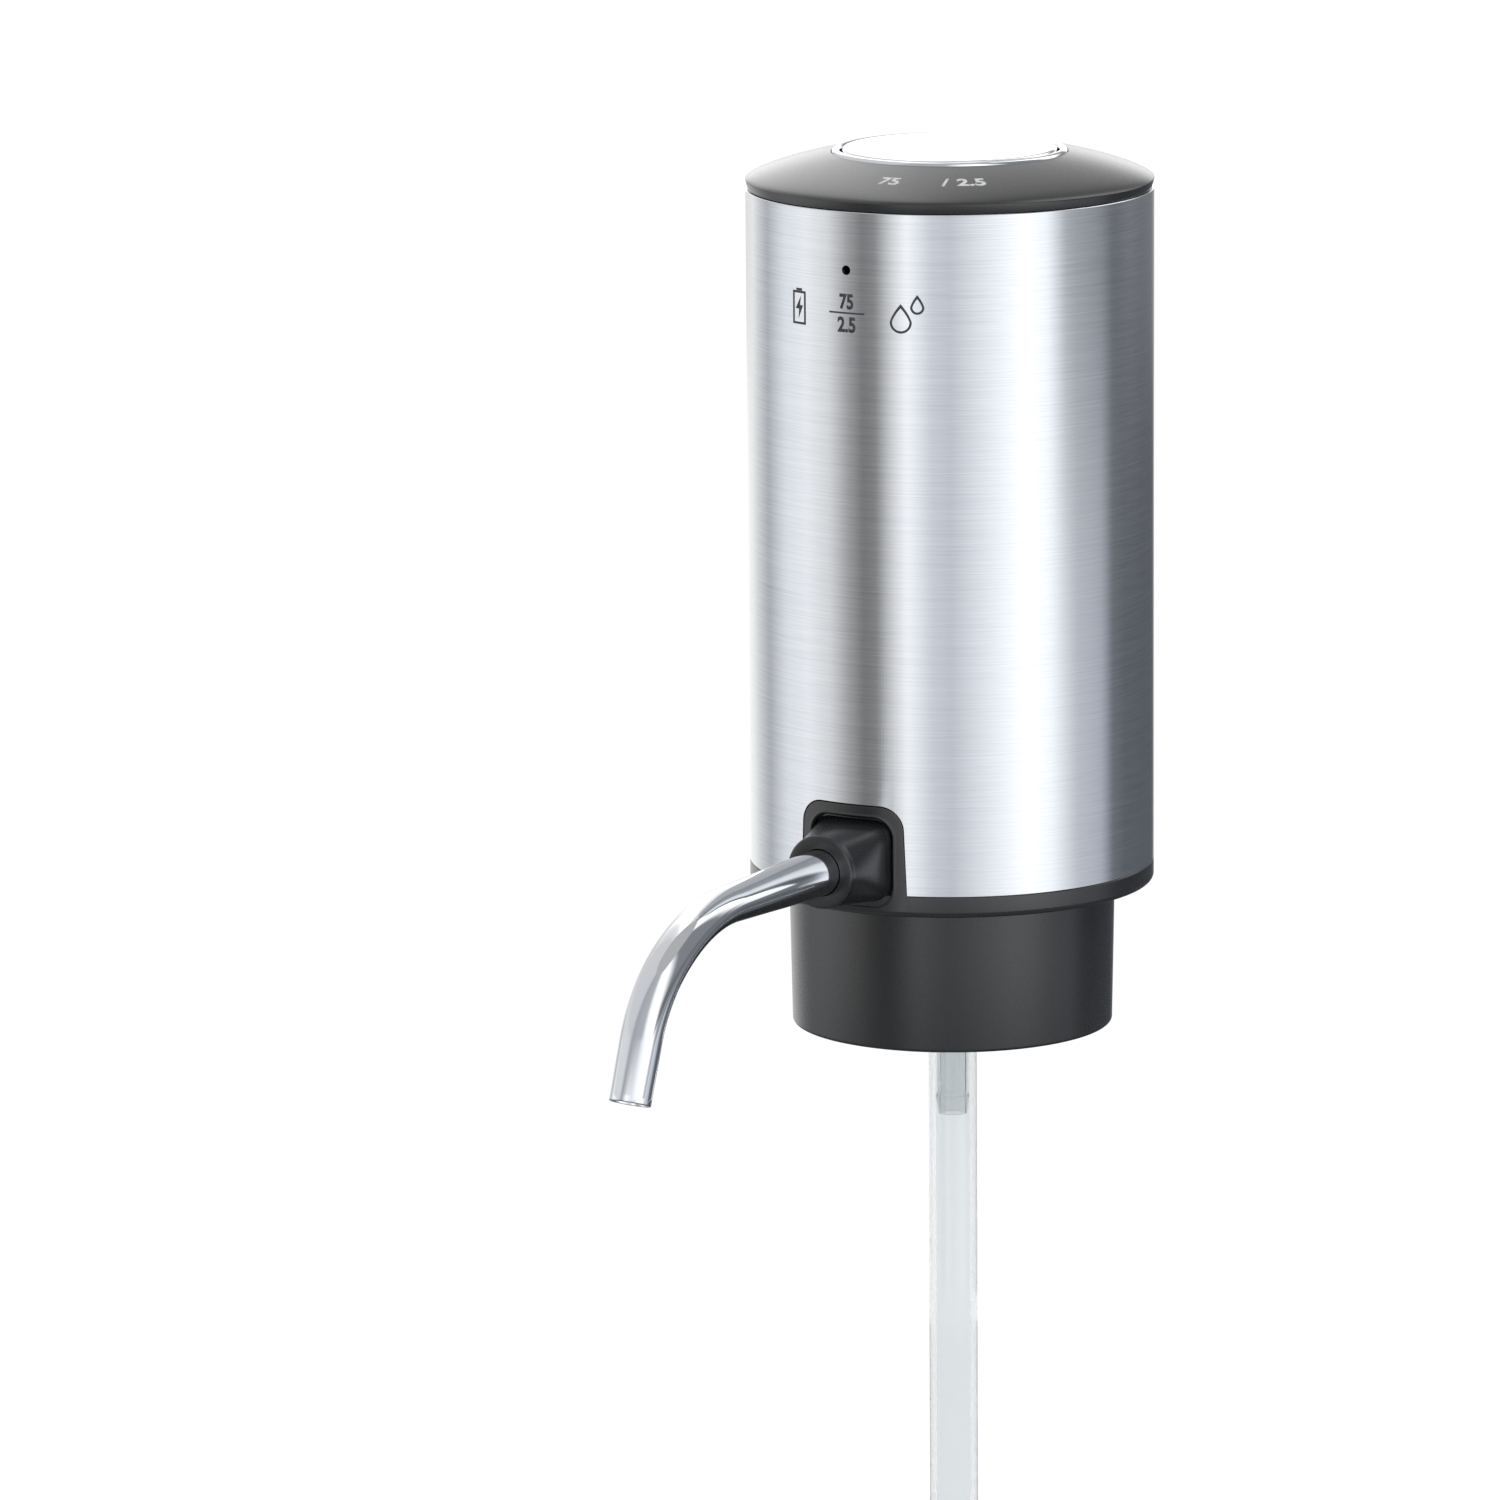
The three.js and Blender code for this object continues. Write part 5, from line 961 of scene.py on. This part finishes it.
# %% The spout tube
SPOUT = 3.4          # radius at the root
SPOUT_TIP = 3.05     # and at the tip
SPOUT_WALL = 0.5
SPOUT_LIP = 0.2      # the round outer edge of the tip
SPOUT_EDGE = 0.1     # and the inner one
STRAIGHT = 25.2      # from the nose to the first bend
BENDS = [(28.8, math.radians(38)), (21.0, math.radians(32))]
STRAIGHT_STEPS = 16
BEND_STEPS = 24
END_STEPS = 8
END = 8.8            # the straight end after the bends
PINCH = 0.7          # how far the bend is pressed flat
INSIDE = 16.7        # how far the tube goes on behind the nose


def spout_places():
    """Middle line of the spout as (length from the nose, forward, drop, pitch)."""
    places = [(-INSIDE, -INSIDE, 0.0, 0.0), (-8.0, -8.0, 0.0, 0.0)]
    for step in range(STRAIGHT_STEPS + 1):
        ahead = STRAIGHT * step / STRAIGHT_STEPS
        places.append((ahead, ahead, 0.0, 0.0))
    length, forward, drop, pitch = places[-1]
    for radius, angle in BENDS:
        middle = (forward - radius * math.sin(pitch), drop + radius * math.cos(pitch))
        for _ in range(BEND_STEPS):
            pitch += angle / BEND_STEPS
            length += radius * angle / BEND_STEPS
            forward = middle[0] + radius * math.sin(pitch)
            drop = middle[1] - radius * math.cos(pitch)
            places.append((length, forward, drop, pitch))
    for step in range(1, END_STEPS + 1):
        along = END * step / END_STEPS
        ahead = forward + along * math.cos(pitch)
        places.append((length + along, ahead, drop + along * math.sin(pitch), pitch))
    return places


spout_line = spout_places()
FREE = spout_line[-1][0]
PINCH_PEAK = (STRAIGHT + BENDS[0][0] * BENDS[0][1] / 2) / FREE


def spout_ring(place, inset, ahead=0.0):
    """One ring across the middle line, thinner towards the tip and pressed flat in the bend."""
    length, forward, drop, pitch = place
    share = max(0, length) / FREE
    near = share / PINCH_PEAK if share < PINCH_PEAK else (1 - share) / (1 - PINCH_PEAK)
    press = PINCH * near * near * (3 - 2 * near)
    radius = SPOUT + (SPOUT_TIP - SPOUT) * share - inset

    def ring(angle):
        side = math.cos(angle) * (radius + press / 4)
        up = math.sin(angle) * (radius - press)
        reach = forward + ahead * math.cos(pitch) + up * math.sin(pitch)
        height = SPOUT_Z - drop - ahead * math.sin(pitch) + up * math.cos(pitch)
        return (side, -(NOSE + reach), height)

    return ring


spout_rings = [spout_ring(place, 0) for place in spout_line[:-1]]
for outward, ahead in arc((0, 0), SPOUT_LIP, 0, 90, 4):
    spout_rings.append(spout_ring(spout_line[-1], SPOUT_LIP - outward, ahead - SPOUT_LIP))
for outward, ahead in arc((0, 0), SPOUT_EDGE, 90, 180, 3):
    inset = SPOUT_WALL - SPOUT_EDGE - outward
    spout_rings.append(spout_ring(spout_line[-1], inset, ahead - SPOUT_EDGE))
spout_rings += [spout_ring(place, SPOUT_WALL) for place in reversed(spout_line[:-1])]
spout = draw_out("pouring_spout", 96, spout_rings)
smooth(spout, 60)
hand_over(spout, "spout", "polished_steel", "spout_tube")

# %% [markdown]
# ## The stopper and the intake tube
# The soft stopper seals the neck with three ribs and a bead. The tube is clear and cut on a slant,
# so that it can stand on a vessel's floor and still draw.

# %% The stopper
STOPPER_LOW = -16.0
PLUG = 8.2           # radius at the foot
PLUG_TAPER = 1.1
RIB_HIGH = 0.7
RIBS = 3
RIB_STEPS = 60
BEAD = 10.0          # the plain bead between the ribs and the flange
BEAD_FILLET = 0.3
SHOULDER = 1.5
FLANGE = 15.1        # the flange's radius, less its fillet
FLANGE_TOP = 4.0
FLANGE_FILLET = 0.4
plug = [(CORE_HOLE, STOPPER_LOW)]
for step in range(RIB_STEPS + 1):
    share = step / RIB_STEPS
    wave = 0.5 - 0.5 * math.cos(2 * math.pi * share * RIBS)
    radius = PLUG + PLUG_TAPER * share + RIB_HIGH * wave**1.5
    plug.append((radius, STOPPER_LOW + share * (-SHOULDER - STOPPER_LOW)))
plug += arc((BEAD - BEAD_FILLET, -SHOULDER + BEAD_FILLET), BEAD_FILLET, -90, 0, 4)
plug += [(BEAD, 0.0), (15.2, 0.0)]
plug += arc((FLANGE, FLANGE_FILLET), FLANGE_FILLET, -60, 0, 4)
plug += arc((FLANGE, FLANGE_TOP - FLANGE_FILLET), FLANGE_FILLET, 0, 90, 4)
plug += [(CORE_HOLE, FLANGE_TOP), (CORE_HOLE, STOPPER_LOW)]
stopper = turn("ribbed_stopper", plug, steps=144)
smooth(stopper, 40)
hand_over(stopper, "stopper", "grey_silicone", "bottle_stopper")

# %% The intake tube
TUBE_BORE = 2.55
TUBE = 3.6
TUBE_TOP = -18.3
TUBE_LOW = -264.3
TUBE_EDGE = 0.1      # the broken edges at the top
SLANT = 5.0          # rise of the slant cut
tube_profile = [
    (TUBE_BORE, TUBE_LOW), (TUBE, TUBE_LOW), (TUBE, TUBE_TOP - TUBE_EDGE),
    (TUBE - TUBE_EDGE, TUBE_TOP), (TUBE_BORE + TUBE_EDGE, TUBE_TOP),
    (TUBE_BORE, TUBE_TOP - TUBE_EDGE), (TUBE_BORE, TUBE_LOW),
]
tube = turn("intake_pipe", tube_profile, steps=72)
wedge = [(-6, TUBE_LOW - 1), (6, TUBE_LOW - 1), (TUBE + 1, TUBE_LOW + SLANT), (-TUBE - 1, TUBE_LOW)]
cut_with(tube, tool("slant_tool", wedge, -8, 8))
smooth(tube, 30)
hand_over(tube, "straw", "clear_plastic", "intake_tube")

# %% [markdown]
# ## The marks on the steel
# Small dark marks are etched below the light: a cell, two plain numbers and two drops. They are
# thin closed shapes, drawn flat and then wrapped round the body. Pale numbers lie on the cap.

# %% Marks
MARK_OUT = 0.02      # how far a mark stands out
MARK_IN = 0.05       # and how far it goes in
STROKE = 0.34        # width of a drawn line
POINT = 1.8          # how many times as far the line reaches in at a drop's point
CELL_X = -8.8        # the cell's place along the round, left of the front
CELL_MIDDLE = 85.6   # its height above the sleeve's foot
CELL_HALF = 1.35
CELL_HALF_HEIGHT = 2.45


def lay(piece, place, slot, ink):
    """Thickens a flat mark, lays its points at place(x, y, out) in mm, and hands it over."""
    apply_modifier(piece, "SOLIDIFY", thickness=(MARK_OUT + MARK_IN) * MM, offset=0)
    middle = (MARK_OUT - MARK_IN) / 2
    for vertex in piece.data.vertices:
        x, y, out = (part / MM for part in vertex.co)
        vertex.co = Vector(place(x, y, out + middle)) * MM
    clean_up(piece)
    hand_over(piece, "housing", slot, material=ink)


def wrap(piece, arc_x, z):
    """Etches a flat mark into the sleeve, at an arc length and height."""
    def place(x, y, out):
        along = (x + arc_x) / BODY
        radius = BODY + out
        return (radius * math.sin(along), -radius * math.cos(along), y + z)

    lay(piece, place, "dark_plastic", dark_ink)


def ring_mark(name, outer, inner):
    """A flat ring between two closed outlines with the same number of points."""
    deselect_all()
    bpy.ops.mesh.primitive_circle_add(vertices=len(outer), radius=1, fill_type="NOTHING")
    piece = settle(name)
    edit_all()
    extrude((0, 0, 1))
    bpy.ops.object.mode_set(mode="OBJECT")
    count = len(outer)
    for place, vertex in enumerate(piece.data.vertices):
        outline = outer if vertex.co.z < 0.5 else inner
        x, y = outline[place % count]
        vertex.co = Vector((x, y, 0)) * MM
    return piece


def drop_outline(half, height, grow=0.0, steps=40):
    """A drop: a round foot that draws to a point at its top."""
    radius = half + grow
    lift = height - half
    outline = []
    for step in range(steps):
        angle = -math.pi / 2 + 2 * math.pi * step / steps
        up = math.sin(angle)
        side = math.cos(angle)
        if up > 0:
            outline.append((radius * side * math.sqrt(1 - up), (lift + grow * POINT) * up))
        else:
            outline.append((radius * side, radius * up))
    return outline


for name, arc_x, low, half, height in (
    ("drop_mark_big", 8.5, 83.0, 1.65, 4.3),
    ("drop_mark_small", 10.95, 85.8, 1.05, 2.9),
):
    outer = drop_outline(half, height)
    inner = drop_outline(half, height, -STROKE)
    wrap(ring_mark(name, outer, inner), arc_x, SLEEVE_LOW + low + half)

# %% The cell mark, the bar and the numbers
def plate_outline(half, half_height, steps=1):
    """A rectangle; its level sides may have more points, to follow the round body."""
    level = [half * (2 * step / steps - 1) for step in range(steps + 1)]
    return [(x, -half_height) for x in level] + [(x, half_height) for x in reversed(level)]


cell = ring_mark(
    "cell_mark",
    plate_outline(CELL_HALF, CELL_HALF_HEIGHT, 8),
    plate_outline(CELL_HALF - STROKE, CELL_HALF_HEIGHT - STROKE, 8),
)
wrap(cell, CELL_X, SLEEVE_LOW + CELL_MIDDLE)


def flat_mark(name, outline):
    """A flat filled mark from an outline in mm, cut every half millimetre to follow the round."""
    deselect_all()
    bpy.ops.mesh.primitive_circle_add(vertices=len(outline), radius=1, fill_type="NGON")
    piece = settle(name)
    for vertex, (x, y) in zip(piece.data.vertices, outline):
        vertex.co = Vector((x, y, 0)) * MM
    bpy.ops.object.mode_set(mode="EDIT")
    for step in range(-6, 7):
        bpy.ops.mesh.select_all(action="SELECT")
        bpy.ops.mesh.bisect(plane_co=(step / 2 * MM, 0, 0), plane_no=(1, 0, 0))
    bpy.ops.object.mode_set(mode="OBJECT")
    return piece


bolt = [(-0.14, -1.6), (0.78, 0.35), (0.16, 0.35), (0.36, 1.7), (-0.78, -0.2), (-0.04, -0.2)]
for name, outline, arc_x, z in (
    ("cell_cap_mark", plate_outline(0.6, 0.18), CELL_X, 88.25),
    ("bar_mark", plate_outline(2.95, 0.13, 24), 0.0, 85.55),
    ("bolt_mark", bolt, CELL_X, CELL_MIDDLE),
):
    wrap(flat_mark(name, outline), arc_x, SLEEVE_LOW + z)


def figures(name, words, width, height):
    """Plain figures as a flat mesh, scaled to a width and height in mm."""
    deselect_all()
    bpy.ops.object.text_add()
    writing = bpy.context.object
    writing.data.body = words
    writing.data.align_x = "CENTER"
    writing.data.align_y = "CENTER"
    writing.data.offset = 0.035   # makes the strokes bolder
    bpy.ops.object.convert(target="MESH")
    piece = settle(name)
    lows = [min(v.co[k] for v in piece.data.vertices) for k in (0, 1)]
    highs = [max(v.co[k] for v in piece.data.vertices) for k in (0, 1)]
    for vertex in piece.data.vertices:
        x = (vertex.co.x - (lows[0] + highs[0]) / 2) / (highs[0] - lows[0]) * width
        y = (vertex.co.y - (lows[1] + highs[1]) / 2) / (highs[1] - lows[1]) * height
        vertex.co = Vector((x, y, 0)) * MM
    return piece


def cap_height(radius):
    """The dome's height in mm at a radius, between the points of its curve."""
    for (r0, z0), (r1, z1) in zip(cap_curve, cap_curve[1:]):
        if r1 <= radius <= r0:
            return z0 + (z1 - z0) * (r0 - radius) / (r0 - r1)
    return cap_curve[-1][1]


def cap_mark(piece, angle):
    """Prints a flat mark on the dome, reading round it; angle is to the right of the front."""
    def place(x, y, out):
        radius = CAP_MARK_RADIUS - y
        turned = math.radians(angle) + x / CAP_MARK_RADIUS
        level = cap_height(radius) + out
        return (radius * math.sin(turned), -radius * math.cos(turned), level)

    lay(piece, place, "white_plastic", pale_ink)


CAP_MARK_RADIUS = 23.7
cap_mark(figures("cap_number_1", "75", 3.1, 2.5), 8.5)
cap_mark(figures("cap_stroke", "/", 1.1, 2.6), 28.5)
cap_mark(figures("cap_number_2", "2.5", 4.2, 2.5), 37.5)
wrap(figures("upper_number", "75", 2.3, 2.3), 0.0, SLEEVE_LOW + 87.2)
wrap(figures("lower_number", "2.5", 3.0, 2.3), 0.0, SLEEVE_LOW + 83.85)

# %% [markdown]
# ## Screws
# The collar's two screws can be seen from below: pan heads with a cross recess. Each is turned on
# the body's axis, cut there and then moved to its own place.

# %% Collar screws
SCREW_REACH = 18.5   # from the body's axis
SCREW_ANGLES = (60, 240)
SCREW_HEAD = [(0, 3.2), (0.9, 3.2), (1.5, 3.35), (1.9, 3.8), (1.9, 4.3)]
SCREW_SHANK = [(1.1, 4.3), (1.1, 11.3), (0, 11.3)]
RECESS = (1.1, 0.22)     # half the length and half the width of each slot
RECESS_HALF_HEIGHT = 0.7
RECESS_Z = 3.1
for number, angle in enumerate(SCREW_ANGLES, start=1):
    screw = turn(f"collar_fixing_{number}", SCREW_HEAD + SCREW_SHANK, steps=48)
    for along, across in (RECESS, RECESS[::-1]):
        recess = [(x, z + RECESS_Z) for x, z in plate_outline(along, RECESS_HALF_HEIGHT)]
        cut_with(screw, tool("recess_tool", recess, -across, across))
    at = math.radians(angle)
    shift = Vector((SCREW_REACH * math.cos(at), SCREW_REACH * math.sin(at), 0)) * MM
    screw.data.transform(Matrix.Translation(shift))
    smooth(screw, 35)
    hand_over(screw, "housing", "zinc_steel", f"collar_screw_{number}")
